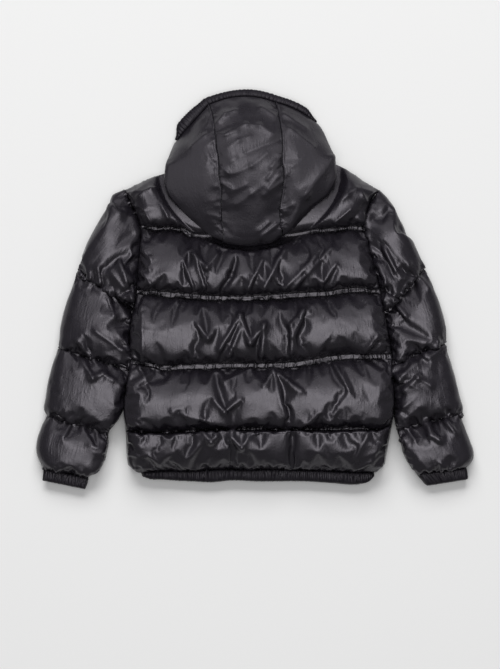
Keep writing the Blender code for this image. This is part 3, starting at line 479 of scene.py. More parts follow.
def hoodSide(side):
    table = hoodSides[side]
    sign = sideSign[side]
    last = len(hoodCut["leftX"]) - 1
    upper = crowdedSteps(hoodCut["sideColumns"][0])[::-1]
    lower = crowdedSteps(hoodCut["sideColumns"][1])[1:]
    p = np.concatenate((upper, lower))
    shown = np.arange(len(p)) < len(upper)
    outer, inner, held = [], [], []
    for q in np.linspace(0.0, last, hoodCut["rows"]):
        nearFold = min(q, 1.0)       # 0 in the lowest row, where the hood's fold has no width
        foldRound = hoodCut["foldRound"]
        seamX = station(hoodCut[side + "X"], q) + sign * cut["seamGap"]
        seam = np.array((seamX, station(hoodCut[side + "Y"], q)))
        fold, via, end = (stationPoint(table[part], q) for part in ("fold", "via", "end"))
        fold[0] += sign * cut["seamGap"] * (1.0 - nearFold)
        onBack = 1.0 - min(max(q - hoodCut["lastBackStation"], 0.0), 1.0)
        via[0] += sign * cut["seamGap"] * onBack
        end[0] += sign * cut["seamGap"] * onBack
        foldZ = station(hoodCut["foldZ"], q)
        length = float(np.linalg.norm(seam - fold))
        inward = (seam - fold) / length
        wall = min(hoodCut["foldWall"], length * hoodCut["foldWallShare"])
        foldIn = fold + inward * wall
        viaIn = via + inward * wall / 2
        line, lineIn = (blend(a, seam, p[:, None]) for a in (fold, foldIn))
        bend, bendIn = (bentLine(a, b, end, p) for a, b in ((fold, via), (foldIn, viaIn)))
        bow = hoodCut["bow"][side] * 4 * p * (1 - p) * ease(last - hoodCut["bowStations"], last, q)
        line = line + bow[:, None] * np.array((inward[1], -inward[0])) * sign
        spot = np.where(shown[:, None], line, bend)
        spotIn = np.where(shown[:, None], lineIn, bendIn)
        away = np.linalg.norm(spot - fold, axis=1)
        top = hoodTop(seam[1])
        high = top + hoodPadding(q, (1.0 - p) * length, seam[1])
        seat = seatLevel(spot[:, 1]) + hoodCut["seatClearance"]
        low = blend(station(hoodCut["underZ"], max(q, hoodCut["lastBackStation"] + 1.0)), seat, onBack)
        overReach = max(foldRound["over"][1], hoodCut["overShare"] * length)
        rise = quarterRound(away, blend(foldRound["over"][0], overReach, nearFold))
        rise = blend(rise, np.clip(away / length, 0.0, 1.0), hoodCut["sideSlope"] * nearFold)
        zHigh = blend(foldZ, high, rise)
        zLow = blend(foldZ, low, quarterRound(away, blend(*foldRound["under"], nearFold)))
        inHigh = blend(foldZ, top, quarterRound(p * length, blend(*foldRound["inside"], nearFold)))
        inLow = quarterRound(p * length, hoodCut["insideUnderRound"])
        inLow = blend(foldZ - cut["layerGap"], low + hoodCut["wall"], inLow)
        inHigh = np.minimum(inHigh, zHigh - hoodCut["thinnest"])
        inHigh = np.maximum(inHigh, foldZ + cut["layerGap"] * (p > 0))
        inLow = np.minimum(inLow, foldZ - cut["layerGap"])
        outer.append(np.column_stack((spot, np.where(shown, zHigh, zLow))))
        inner.append(np.column_stack((spotIn, np.where(shown, inHigh, inLow))))
        weight = np.where(shown, 0.0, onBack)
        weight[[0, -1]] = 1.0
        if q in (0.0, last):
            weight[:] = 1.0
        held.append(weight)
    return np.array(outer), np.array(inner), np.array(held)


def hoodCenter():
    last = len(hoodCut["leftX"]) - 1
    t = crowdedSteps(hoodCut["centerColumns"])
    lastBack = hoodCut["lastBackStation"]
    rows = [("neck", float(lastBack))] + [("under", float(q)) for q in range(lastBack, -1, -1)]
    rows += [("turnUnder", a) for a in hoodCut["turnUnder"]] + [("fold", 1.0)]
    rows += [("turnOver", a) for a in hoodCut["turnOver"]]
    rows += [("over", q) for q in np.linspace(0.0, last, hoodCut["rows"])]
    outer, inner, held = [], [], []
    for kind, value in rows:
        q = value if kind in ("neck", "under", "over") else 0.0
        leftX, rightX = station(hoodCut["leftX"], q), station(hoodCut["rightX"], q)
        x = blend(leftX, rightX, t)
        leftY, middleY, rightY = (station(hoodCut[k], q) for k in ("leftY", "middleY", "rightY"))
        y = blend(leftY, rightY, t) + (middleY - (leftY + rightY) / 2) * 4 * t * (1 - t)
        foldZ = hoodCut["foldZ"][0]
        loft = hoodPadding(q, np.minimum(t, 1 - t) * (rightX - leftX), y)
        if kind == "over":
            zIn = hoodTop(y)
            z = zIn + loft
            yOut, yIn = y, y
        elif kind in ("under", "neck"):
            if kind == "neck":
                y = readCurve(bodyCut["topX"], bodyCut["backTop"], x) - hoodCut["neckShy"]
            z = seatLevel(y) + hoodCut["seatClearance"]
            zIn = np.minimum(z + hoodCut["wall"], foldZ - cut["layerGap"])
            yOut, yIn = y, y
        else:
            angle = value * math.pi / 2
            seat = seatLevel(y) + hoodCut["seatClearance"]
            edge = seat if kind == "turnUnder" else hoodTop(y) + loft
            yOut = y - (y - readCurve(hoodCut["foldLineX"], hoodCut["foldLineY"], x)) * math.sin(angle)
            z = foldZ + (edge - foldZ) * math.cos(angle)
            yIn = y - hoodCut["foldShy"] * math.sin(angle)
            zIn = foldZ + {"turnUnder": -1.0, "fold": 0.0, "turnOver": 1.0}[kind] * cut["layerGap"] + 0 * x
        outer.append(np.stack((x, yOut, z), axis=-1))
        inner.append(np.stack((x, yIn, zIn), axis=-1))
        weight = np.full(len(t), 1.0 if kind in ("neck", "under", "turnUnder", "fold") else 0.0)
        weight[[0, -1]] = 1.0
        if kind == "over" and value == last:
            weight[:] = 1.0
        held.append(weight)
    return np.array(outer), np.array(inner), np.array(held)


creases = {                      # large folds of each piece, each with its line, width and height
    "back_panel": (
        (((-110, 63), (-81, 35), (-64, 56)), 5, 5), (((-102, 57), (-85, 3)), 4, 4),
        (((-120, 46), (-102, -2)), 4, 4), (((-112, 97), (-112, 46)), 6, -5),
        (((-54, -2), (-39, 23), (-32, 46)), 5, -5), (((-11, 1), (12, 46)), 5, 5),
        (((16, 3), (50, 63)), 6, 6), (((51, 1), (102, 52)), 6, 6), (((65, 1), (128, 66)), 5, 5),
        (((119, 15), (136, 40)), 5, 4), (((-200, 74), (-178, 52)), 5, 4), (((-198, 57), (-178, 32)), 5, 4),
        (((-96, -62), (-79, -84), (-71, -75)), 5, 5),
        (((-59, -102), (-25, -46), (-8, -92), (16, -62), (12, -114)), 5, 6),
        (((-44, -114), (-25, -70)), 5, 5), (((60, -62), (82, -39), (65, -80)), 5, 5),
        (((62, -62), (62, -109)), 4, 5), (((-187, -19), (-192, -36)), 5, 4),
        (((-190, -45), (-190, -124)), 7, 5), (((182, -113), (206, -79)), 6, 5),
        (((-51, -158), (-8, -138)), 6, 4), (((-68, -189), (-51, -208), (-25, -189)), 5, 4),
        (((31, -141), (16, -164)), 5, 4), (((31, -141), (77, -172)), 6, 5),
        (((31, -141), (51, -215)), 7, 4),
        (((-136, -209), (-51, -232)), 8, 4), (((77, -237), (111, -209)), 6, 4),
        (((-195, -135), (-178, -164)), 5, 4), (((136, -130), (157, -169)), 5, 4),
        (((-88, -243), (-74, -260), (-66, -250)), 5, 5), (((-39, -252), (-22, -269), (-13, -254)), 5, 5),
        (((-39, -266), (-39, -308)), 7, -4), (((63, -252), (63, -303)), 7, -4),
        (((-178, -283), (-161, -296)), 5, 4), (((172, -283), (189, -249)), 6, 4),
        (((170, -308), (196, -294)), 5, 4), (((136, 168), (91, 114)), 6, 5),
        (((142, 161), (101, 110)), 4, -4),
        (((-158, 143), (-147, 120)), 4, 6), (((-144, 131), (-130, 110)), 4, 6),
        (((-175, 168), (-154, 173)), 4, 5),
        (((-195, 158), (-178, 168)), 5, 6), (((-187, 132), (-176, 114)), 4, 6),
        (((-196, 92), (-186, 64)), 5, 5),
        (((-193, 30), (-176, 8)), 5, 5), (((157, 156), (111, 127)), 5, 7), (((170, 168), (141, 151)), 5, 6),
        (((162, 134), (136, 113)), 4, 6), (((187, 143), (165, 114)), 5, -6),
        (((182, 158), (195, 131)), 5, 6),
    ),
    "sleeve_left": (
        (((-229, 39), (-210, 15)), 5, 5), (((-243, 29), (-207, -19)), 6, 5),
        (((-246, -2), (-215, -53)), 6, 5),
        (((-297, 23), (-249, -19)), 6, 4), (((-268, -73), (-226, -104)), 6, 5),
        (((-300, -90), (-268, -130)), 5, 4),
        (((-294, -121), (-275, -152), (-258, -145), (-243, -155)), 5, 5),
        (((-294, -237), (-277, -262)), 5, 4), (((-323, -250), (-314, -232)), 5, 4),
        (((-246, 142), (-229, 129)), 7, 5), (((-265, 35), (-256, -2), (-239, -46)), 5, 6),
        (((-229, 46), (-216, 7)), 5, 6), (((-294, 22), (-283, 8)), 4, 5), (((-280, 28), (-272, 10)), 4, 5),
    ),
    "sleeve_right": (
        (((221, 66), (238, 32)), 5, 5), (((210, 40), (221, 10)), 5, 5), (((254, 18), (261, 44)), 5, 4),
        (((255, 46), (295, 1)), 6, 5), (((247, -11), (267, 15)), 5, 5), (((247, -152), (289, -118)), 6, 5),
        (((235, -138), (245, -153)), 5, 4), (((261, -240), (272, -257)), 5, 4),
        (((289, -232), (312, -257)), 5, 5), (((323, -223), (335, -237)), 5, 4),
        (((315, -296), (329, -308)), 5, 4),
        (((233, -19), (255, -45)), 6, 7), (((289, -113), (311, -91)), 5, 6),
        (((298, -117), (323, -100)), 5, 6),
        (((247, -151), (268, -130)), 5, 5), (((255, -172), (277, -151), (298, -164)), 5, 5),
        (((294, -232), (298, -249), (315, -257)), 5, 5), (((323, -227), (340, -244)), 5, 5),
    ),
    "hood_center": (
        (((-62, 282), (-50, 296), (-33, 302)), 4, 5), (((12, 307), (34, 292)), 5, 5),
        (((-71, 261), (-50, 259), (-30, 265)), 4, 3), (((-42, 265), (-15, 277), (9, 275), (31, 260)), 5, 3),
        (((-47, 236), (-28, 249), (-8, 256)), 4, 2.2), (((-42, 214), (-20, 227)), 4, 2),
        (((-25, 224), (43, 253)), 7, -4), (((-34, 193), (-5, 206), (21, 227)), 4, 2.2),
        (((-42, 163), (-14, 174)), 4, 2.2), (((-30, 142), (-6, 159), (14, 173)), 5, 2.6),
        (((40, 207), (21, 185)), 4, 5), (((43, 193), (22, 168)), 4, 4), (((43, 222), (28, 204)), 4, 4),
        (((19, 188), (43, 205)), 5, -3), (((17, 158), (46, 180)), 5, 4),
        (((-56, 205), (-43, 193)), 3, 4), (((-57, 178), (-41, 169)), 3, 4), (((12, 88), (36, 108)), 5, 5),
        (((8, 98), (24, 112)), 4, 4),
    ),
    "hood_side_left": (
        (((-105, 241), (-85, 258)), 6, 4),
    ),
    "hood_side_right": (
        (((51, 295), (85, 273)), 6, 4), (((60, 270), (97, 241)), 6, 4),
        (((131, 222), (85, 159), (60, 108)), 9, 7), (((43, 132), (63, 141)), 5, 3),
    ),
}


creaseForm = {
    "tail": 1.5,                 # how far a crease fades past its ends, in shares of its width
    "foot": 1.2,                 # how wide its foot is
    "bluntness": 0.3,            # how round its crest is
}


# lift of the cloth by its creases: ridges with a narrow crest and a wide foot
def creaseLift(points, folds, breadth):
    x, y = points[..., 0], points[..., 1]
    lift = np.zeros_like(x)
    for line, fullWidth, height in folds:
        width = fullWidth * breadth
        for (ax, ay), (bx, by) in zip(line[:-1], line[1:]):
            length = math.hypot(bx - ax, by - ay)
            ux, uy = (bx - ax) / length, (by - ay) / length
            along = (x - ax) * ux + (y - ay) * uy
            side = (x - ax) * -uy + (y - ay) * ux
            beyond = np.maximum(np.maximum(-along, along - length), 0.0)
            taper = np.exp(-(beyond / (creaseForm["tail"] * width)) ** 2)
            blunt = creaseForm["bluntness"]
            ridge = np.exp(blunt - np.sqrt((side / (creaseForm["foot"] * width)) ** 2 + blunt ** 2))
            lift = lift + height * ridge * taper
    return lift


pucker = {                       # small gathers that run out of a seam into the cloth
    "spacing": (3.0, 9.0),
    "start": 6.0,                # the first one stands at most this far along its seam
    "length": (6.0, 44.0),
    "shortness": 1.9,            # over 1 makes most of them short
    "halfWidth": (1.5, 2.6),
    "spread": 1.4,               # how much wider they are at their ends
    "height": (0.6, 2.2),
    "raised": 0.7,               # share of them that stand up, while the others are hollows
    "hollow": -0.8,
    "fading": 1.3,               # how soon they sink along their length
    "rise": 1.2,                 # length of their steep start at the seam
    "crest": (0.35, 0.12),
    "slant": 0.55,
    "bend": 0.12,
    "busy": (0.75, 0.6),         # middle and range of how busy a stretch of a seam is
    "busySize": 45.0,
    "busySeed": 11,
    "leastBusy": 0.15,
    "thinning": (1.6, 0.6, 1.5),     # how much farther apart they stand where a seam is less busy
    "sleeves": 1.9,              # strength of a sleeve's gathers against the body's
    "sides": (1.5, 1.8),         # strength and reach of those that run in from a piece's side edges
    "hoodSides": (1.0, 0.9),
    "edgeColumns": 3.0,          # columns beside a side edge in which the relief grows from nothing
    "hoodRidge": (2.0, 2.5, 1.7, 0.6, 0.1),  # sewn edge beside each hood seam, column by column
    "hoodRidgeWaver": 0.3,
    "hoodRidgeSize": 6.0,
    "hoodRidgeSeed": 5,
}


# gathers along a line: "inward" is the direction that they run in, one for each point of the line
def addPuckers(lift, points, line, inward, seed, strength=1.0, reach=1.0):
    x, y = points[..., 0], points[..., 1]
    random = np.random.default_rng(seed)
    along = lengthAlong(line)
    margin = 8.0                 # past a gather's length, so that all of its foot is reached
    place = random.uniform(0.0, pucker["start"])
    while place < along[-1]:
        busy = float(softNoise(place, 3.0 * seed, pucker["busySize"], pucker["busySeed"]))
        busy = pucker["busy"][0] + pucker["busy"][1] * busy
        px, py = np.interp(place, along, line[:, 0]), np.interp(place, along, line[:, 1])
        dx, dy = np.interp(place, along, inward[:, 0]), np.interp(place, along, inward[:, 1])
        slant = random.normal(0.0, pucker["slant"])
        share = random.uniform(0.0, 1.0) ** pucker["shortness"]
        length = blend(*pucker["length"], share) * reach
        width = blend(*pucker["halfWidth"], random.uniform(0.0, 1.0))
        height = blend(*pucker["height"], random.uniform(0.0, 1.0))
        height = height * strength * max(busy, pucker["leastBusy"])
        height *= 1.0 if random.uniform(0.0, 1.0) < pucker["raised"] else pucker["hollow"]
        bend = random.normal(0.0, pucker["bend"]) * length
        norm = math.hypot(dx - slant * dy, dy + slant * dx)
        ux, uy = (dx - slant * dy) / norm, (dy + slant * dx) / norm
        window = (np.abs(x - px) < length + margin) & (np.abs(y - py) < length + margin)
        gx, gy = x[window] - px, y[window] - py
        t = (gx * ux + gy * uy) / length
        aside = gx * -uy + gy * ux - bend * np.clip(t, 0.0, 1.0) ** 2
        spread = width * (1.0 + pucker["spread"] * np.clip(t, 0.0, 1.0))
        fade = np.clip(1.0 - t, 0.0, 1.0) ** pucker["fading"]
        fade = fade * np.clip(1.0 + t * length / pucker["rise"], 0.0, 1.0)
        crest, bluntness = pucker["crest"]
        lift[window] += height * fade * np.exp(crest - np.sqrt((aside / spread) ** 2 + bluntness))
        widest, closing, busiest = pucker["thinning"]
        place += random.uniform(*pucker["spacing"]) * (widest - closing * min(busy, busiest))
    return lift


# outward directions on a grid of points, away from its inner grid
def outwardNormals(outer, inner):
    down = np.gradient(outer, axis=0)
    across = np.gradient(outer, axis=1)
    normal = unit(np.cross(down, across), 1e-9)
    sign = np.sign(np.sum(normal * (outer - inner)))
    return normal * sign, sign


cloth = {
    "grow": 0.045,               # spare length of cloth over its padding
    "ease": {"hood_center": 0.25, "hood_side_left": 0.1, "hood_side_right": 0.1},   # share of "grow"
    "pressure": 8.0,
    "leastPressure": 0.4,        # share of it for a piece with no spare length
    "tension": 15.0,
    "bending": 3.5,
    "frames": 20,
    "quality": 5,
    "ripple": 0.5,
    "rippleSize": 16.0,
    "rippleSeed": 3,
    "creaseBefore": 0.4,         # share of each crease's height that is set before the cloth is let out
    "creaseAfter": 0.5,
    "creaseNarrowing": 0.7,      # of a crease's width, for what is set after it
    "upward": 0.2,               # creases are set only where the cloth faces up more than this
    "edgeColumns": 4.0,          # columns beside a side edge in which ripples and creases grow from nothing
    "cap": 11.0,                 # farthest that a point may move
    "calming": 0.6,              # share of each smoothing step
    "calmYoke": (0.9, 30),       # how far small buckles are taken out of the uppermost baffle, and the steps
    "calmHood": (0.25, 12),
    "keepForm": (0.8, 40),       # how far the back keeps its baffles' form under its creases, and the steps
    "plump": 0.62,               # share that the padding adds to their height
    "outlineReach": 42.0,        # from a folded edge, where its outline is put right
    "outlineSoftening": 4,
    "lowest": 0.15,              # of the cloth over the ground
}


# a sheet of cloth that is held where it is sewn, with pressure under it
def clothObject(name, points, sign, held, share):
    rows, columns = held.shape
    k = np.arange(rows * columns).reshape(rows, columns)
    faces = gridFaces(k)
    if sign < 0:
        faces = faces[:, ::-1]
    mesh = bpy.data.meshes.new(name)
    mesh.from_pydata((points.reshape(-1, 3) * mm).tolist(), [], faces.tolist())
    item = addObject(name, mesh)
    group = item.vertex_groups.new(name="sewn")
    for level in np.unique(np.round(held, 1)):
        if level > 0:
            group.add(np.nonzero(np.round(held, 1).ravel() == level)[0].tolist(), float(level), "REPLACE")
    change = item.modifiers.new("cloth", "CLOTH")
    settings = change.settings
    settings.quality = cloth["quality"]
    settings.tension_stiffness = cloth["tension"]
    settings.compression_stiffness = cloth["tension"]
    settings.bending_stiffness = cloth["bending"]
    settings.vertex_group_mass = "sewn"
    settings.use_pressure = True
    settings.uniform_pressure_force = cloth["pressure"] * blend(cloth["leastPressure"], 1.0, share)
    settings.shrink_min = -cloth["grow"] * share
    settings.effector_weights.gravity = 0.0
    change.collision_settings.use_collision = False
    change.point_cache.frame_start = 1
    change.point_cache.frame_end = cloth["frames"]
    return item


# simulates all the sheets side by side and returns their settled points
def inflate(sheets):
    items = {name: clothObject("sim_" + name, *sheet) for name, sheet in sheets.items()}
    scene = bpy.context.scene
    scene.frame_start, scene.frame_end = 1, cloth["frames"]
    for number in range(1, cloth["frames"] + 1):
        scene.frame_set(number)
    settled = {}
    graph = bpy.context.evaluated_depsgraph_get()
    for name, item in items.items():
        flat = np.zeros(len(item.data.vertices) * 3)
        item.evaluated_get(graph).data.vertices.foreach_get("co", flat)
        start = sheets[name][0]
        move = flat.reshape(start.shape) / mm - start
        far = np.linalg.norm(move, axis=-1, keepdims=True)
        settled[name] = start + move * np.minimum(1.0, cloth["cap"] / np.maximum(far, 1e-6))
    for item in items.values():
        item.modifiers.clear()
        bpy.data.objects.remove(item, do_unlink=True)
    scene.frame_set(1)
    return settled


# takes the small buckles out of the cloth's move from its start, where the share is high
def calmed(points, start, share, times):
    move = points - start
    for _ in range(times):
        wide = np.pad(move, ((1, 1), (1, 1), (0, 0)), mode="edge")
        mean = (wide[:-2, 1:-1] + wide[2:, 1:-1] + wide[1:-1, :-2] + wide[1:-1, 2:]) / 4
        move = move + cloth["calming"] * share[..., None] * (mean - move)
    return start + move


# moves the cloth near a piece's folded edge back to the outline that its pattern had
def keepOutline(points, start, fold, held):
    way = unit(start[:, fold, :2] - start[:, 0, :2])
    own = np.einsum("rcx,rx->rc", points[..., :2], way)
    target = np.einsum("rcx,rx->rc", start[..., :2], way).max(axis=1)
    gap = target - own.max(axis=1)
    for _ in range(cloth["outlineSoftening"]):
        gap = smoothedOnce(gap)
    share = 1.0 - ease(0.0, cloth["outlineReach"], own.max(axis=1)[:, None] - own)
    move = (gap * (1.0 - held[:, fold]))[:, None] * share
    points[..., :2] += way[:, None] * move[..., None]
    return points


# twice as many points along the first axis, on smooth curves and straight between stiff rows
def doubled(points, stiff=None):
    longer = np.concatenate((2 * points[:1] - points[1:2], points, 2 * points[-1:] - points[-2:-1]))
    between = (-longer[:-3] + 9 * longer[1:-2] + 9 * longer[2:-1] - longer[3:]) / 16
    if stiff is not None:
        flat = stiff[:-1] & stiff[1:]
        between[flat] = ((points[:-1] + points[1:]) / 2)[flat]
    result = np.empty((2 * len(points) - 1,) + points.shape[1:])
    result[::2] = points
    result[1::2] = between
    return result


def finer(points, stiff=None):
    return doubled(doubled(points, stiff).swapaxes(0, 1)).swapaxes(0, 1)


def keptPlaces(count, step):
    return sorted(set(range(0, count, step)) | {count - 1})


def borderLoop(rows, columns):
    loop = [(rows[0], c) for c in columns[:-1]]
    loop += [(r, columns[-1]) for r in rows[:-1]]
    loop += [(rows[-1], c) for c in reversed(columns[1:])]
    loop += [(r, columns[0]) for r in reversed(rows[1:])]
    return loop


# closed wall from a fine outer grid and a plain inner one, with its cloth lengths as its UV map;
# the inner one keeps one place in each step of the outer one's
def closedWall(name, outer, inner, material, step=6):
    rows, columns = outer.shape[:2]
    thinRows, thinColumns = keptPlaces(rows, step), keptPlaces(columns, step)
    thin = inner[np.ix_(thinRows, thinColumns)]
    points = np.concatenate((outer.reshape(-1, 3), thin.reshape(-1, 3)))
    k = np.arange(rows * columns).reshape(rows, columns)
    faces = gridFaces(k)
    m = np.arange(thin.shape[0] * thin.shape[1]).reshape(thin.shape[:2]) + rows * columns
    back = np.stack((m[:-1, :-1], m[:-1, 1:], m[1:, 1:], m[1:, :-1]), axis=-1).reshape(-1, 4)
    rim = []
    fine = borderLoop(list(range(rows)), list(range(columns)))
    index = {place: n for n, place in enumerate(fine)}
    coarse = borderLoop(thinRows, thinColumns)
    for n, place in enumerate(coarse):
        following = coarse[(n + 1) % len(coarse)]
        count = (index[following] - index[place]) % len(fine)
        run = [fine[(index[place] + j) % len(fine)] for j in range(count + 1)]
        near, far = (int(m[thinRows.index(r), thinColumns.index(c)]) for r, c in (place, following))
        half = (count + 1) // 2
        for j in range(count):
            rim.append((int(k[run[j]]), int(k[run[j + 1]]), near if j < half else far))
        rim.append((int(k[run[half]]), far, near))
    allFaces = faces.tolist() + back.tolist() + rim
    _, sign = outwardNormals(outer, inner)
    if sign < 0:
        allFaces = [face[::-1] for face in allFaces]
    mesh = bpy.data.meshes.new(name)
    mesh.from_pydata(((points - drawingMiddle) * mm).tolist(), [], allFaces)
    u = np.concatenate(([0.0], np.cumsum(np.linalg.norm(np.diff(outer, axis=1), axis=-1).mean(axis=0))))
    v = np.concatenate(([0.0], np.cumsum(np.linalg.norm(np.diff(outer, axis=0), axis=-1).mean(axis=1))))
    grid = np.stack(np.meshgrid(u, v), axis=-1)
    uv = np.concatenate((grid.reshape(-1, 2), grid[np.ix_(thinRows, thinColumns)].reshape(-1, 2))) * mm
    layer = mesh.uv_layers.new(name="cloth")
    corner = np.zeros(len(mesh.loops), dtype=np.int32)
    mesh.loops.foreach_get("vertex_index", corner)
    layer.data.foreach_set("uv", uv[corner].ravel())
    mesh.shade_smooth()
    mesh.materials.append(material)
    return addObject(name, mesh)


# links each input of a node to an output, or sets its value
def setInputs(tree, node, inputs):
    for label, value in inputs.items():
        if isinstance(value, bpy.types.NodeSocket):
            tree.links.new(value, node.inputs[label])
        else:
            node.inputs[label].default_value = value


def addNode(tree, kind, inputs=None, **settings):
    node = tree.nodes.new(kind)
    for label, value in settings.items():
        setattr(node, label, value)
    setInputs(tree, node, inputs or {})
    return node


def newTree(name, kind, inputs, outputs):
    tree = bpy.data.node_groups.new(name, kind)
    for label, socketKind, value in inputs:
        socket = tree.interface.new_socket(label, in_out="INPUT", socket_type=socketKind)
        if value is not None:
            socket.default_value = value
    for label, socketKind in outputs:
        tree.interface.new_socket(label, in_out="OUTPUT", socket_type=socketKind)
    return tree, addNode(tree, "NodeGroupInput"), addNode(tree, "NodeGroupOutput")


# crossing threads, one pair to each "Thread" metres of the cloth's own map
def makeWeaveGroup():
    group, given, result = newTree(
        "plainWeave", "ShaderNodeTree",
        (("Thread", "NodeSocketFloat", 0.0006),), (("Height", "NodeSocketFloat"),))
    place = addNode(group, "ShaderNodeUVMap", uv_map="cloth")
    per = addNode(group, "ShaderNodeMath", {0: 2 * math.pi, 1: given.outputs["Thread"]}, operation="DIVIDE")
    scaled = addNode(group, "ShaderNodeVectorMath", {0: place.outputs["UV"], "Scale": per.outputs[0]},
                     operation="SCALE")
    parts = addNode(group, "ShaderNodeSeparateXYZ", {0: scaled.outputs[0]})
    waves = [addNode(group, "ShaderNodeMath", {0: parts.outputs[axis]}, operation="SINE") for axis in "XY"]
    both = addNode(group, "ShaderNodeMath", {n: wave.outputs[0] for n, wave in enumerate(waves)},
                   operation="MULTIPLY")
    setInputs(group, result, {"Height": both.outputs[0]})
    return group


crinkleForm = {
    "detail": 3.0,
    "softDistortion": 0.6,
    "sharpDistortion": 0.3,
    "sharpScale": 2.7,           # of the sharper crinkles against the soft ones
    "streakDetail": 2.0,
    "streakDistortion": 0.9,
    "streakStretch": (1.0, 0.2, 1.0),
    "streakTurn": 8.0,
}


# fine dry crinkles of thin coated cloth: long soft ripples and sharper small ones
def makeCrinkleGroup():
    group, given, result = newTree(
        "crinkle", "ShaderNodeTree",
        (("Size", "NodeSocketFloat", 60.0), ("Sharpness", "NodeSocketFloat", 0.5),
         ("Streak Size", "NodeSocketFloat", 200.0), ("Streaks", "NodeSocketFloat", 0.5)),
        (("Height", "NodeSocketFloat"), ("Mask", "NodeSocketFloat")))
    place = addNode(group, "ShaderNodeTexCoord")
    soft = addNode(group, "ShaderNodeTexNoise", {
        "Vector": place.outputs["Object"], "Scale": given.outputs["Size"],
        "Detail": crinkleForm["detail"], "Distortion": crinkleForm["softDistortion"]})
    sharpSize = addNode(group, "ShaderNodeMath", {0: given.outputs["Size"], 1: crinkleForm["sharpScale"]},
                        operation="MULTIPLY")
    sharp = addNode(group, "ShaderNodeTexNoise", {
        "Vector": place.outputs["Object"], "Scale": sharpSize.outputs[0],
        "Detail": crinkleForm["detail"], "Distortion": crinkleForm["sharpDistortion"]},
        noise_type="RIDGED_MULTIFRACTAL")
    mixed = addNode(group, "ShaderNodeMix", {
        "Factor": given.outputs["Sharpness"], "A": soft.outputs["Fac"], "B": sharp.outputs["Fac"]})
    own = addNode(group, "ShaderNodeUVMap", uv_map="cloth")
    drawn = addNode(group, "ShaderNodeMapping", {
        "Vector": own.outputs["UV"], "Scale": crinkleForm["streakStretch"],
        "Rotation": (0.0, 0.0, math.radians(crinkleForm["streakTurn"]))})
    streak = addNode(group, "ShaderNodeTexNoise", {
        "Vector": drawn.outputs["Vector"], "Scale": given.outputs["Streak Size"],
        "Detail": crinkleForm["streakDetail"], "Distortion": crinkleForm["streakDistortion"]})
    total = addNode(group, "ShaderNodeMath", {
        0: streak.outputs["Fac"], 1: given.outputs["Streaks"], 2: mixed.outputs["Result"]},
        operation="MULTIPLY_ADD")
    setInputs(group, result, {"Height": total.outputs[0], "Mask": soft.outputs["Fac"]})
    return group


# spreads the middle of a noise over the range from low to high
def remap(tree, source, low, high):
    spread = addNode(tree, "ShaderNodeMapRange", {
        "Value": source, "From Min": 0.3, "From Max": 0.7, "To Min": low, "To Max": high})
    return spread.outputs["Result"]


finish = {                       # of each cloth: colours, roughness range, and heights of its relief in mm
    "shell": {
        "dark": (0.0072, 0.0062, 0.0086), "light": (0.0102, 0.0090, 0.0120), "roughness": (0.26, 0.33),
        "crinkle": 0.42, "crinkleSize": 70.0, "streaks": 0.9, "streakSize": 170.0,
        "weave": 0.003, "thread": 0.0005, "gloss": 0.5,
    },
    "elastic": {
        "dark": (0.0072, 0.0062, 0.0086), "light": (0.0102, 0.0090, 0.0120), "roughness": (0.3, 0.42),
        "crinkle": 0.4, "crinkleSize": 110.0, "streaks": 0.8, "streakSize": 220.0,
        "weave": 0.003, "thread": 0.0005, "gloss": 0.2,
    },
    "tape": {
        "dark": (0.010, 0.010, 0.011), "light": (0.016, 0.016, 0.017), "roughness": (0.75, 0.9),
        "crinkle": 0.05, "crinkleSize": 200.0, "streaks": 0.0, "streakSize": 170.0,
        "weave": 0.1, "thread": 0.0011, "gloss": 0.3,
    },
}
everyCloth = {
    "sharpness": 0.45,           # share of sharp crinkles
    "tint": (0.97, 0.92, 1.0),   # of what it reflects
}


def newMaterial(name):
    material = bpy.data.materials.new(name)
    material.use_nodes = True
    return material, material.node_tree, material.node_tree.nodes["Principled BSDF"]


def makeCloth(name, weaveGroup, crinkleGroup):
    look = finish[name]
    material, tree, shader = newMaterial(name + "_cloth")
    crinkle = addNode(tree, "ShaderNodeGroup", {
        "Size": look["crinkleSize"], "Sharpness": everyCloth["sharpness"],
        "Streak Size": look["streakSize"], "Streaks": look["streaks"]}, node_tree=crinkleGroup)
    weave = addNode(tree, "ShaderNodeGroup", {"Thread": look["thread"]}, node_tree=weaveGroup)
    color = addNode(tree, "ShaderNodeMix", {
        "Factor": crinkle.outputs["Mask"], "A": (*look["dark"], 1.0), "B": (*look["light"], 1.0)},
        data_type="RGBA")
    crease = addNode(tree, "ShaderNodeBump", {
        "Height": crinkle.outputs["Height"], "Distance": look["crinkle"] * mm, "Strength": 1.0})
    threads = addNode(tree, "ShaderNodeBump", {
        "Height": weave.outputs["Height"], "Normal": crease.outputs["Normal"],
        "Distance": look["weave"] * mm, "Strength": 1.0})
    setInputs(tree, shader, {
        "Base Color": color.outputs["Result"], "Normal": threads.outputs["Normal"],
        "Roughness": remap(tree, crinkle.outputs["Mask"], *look["roughness"]),
        "Specular IOR Level": look["gloss"], "Specular Tint": (*everyCloth["tint"], 1.0)})
    return material


hardFinish = {                   # colour, metallic, roughness range and height of the scratches in mm
    "sewing_thread": ((0.012, 0.012, 0.013), 0.0, (0.45, 0.6), 0.03),
    "moulded_teeth": ((0.014, 0.014, 0.015), 0.0, (0.28, 0.4), 0.02),
    "lacquered_metal": ((0.06, 0.06, 0.065), 1.0, (0.25, 0.38), 0.02),
}
grain = {
    "size": 900.0,
    "detail": 4.0,
    "dust": 1.6,                 # how much lighter its dusty places are
}


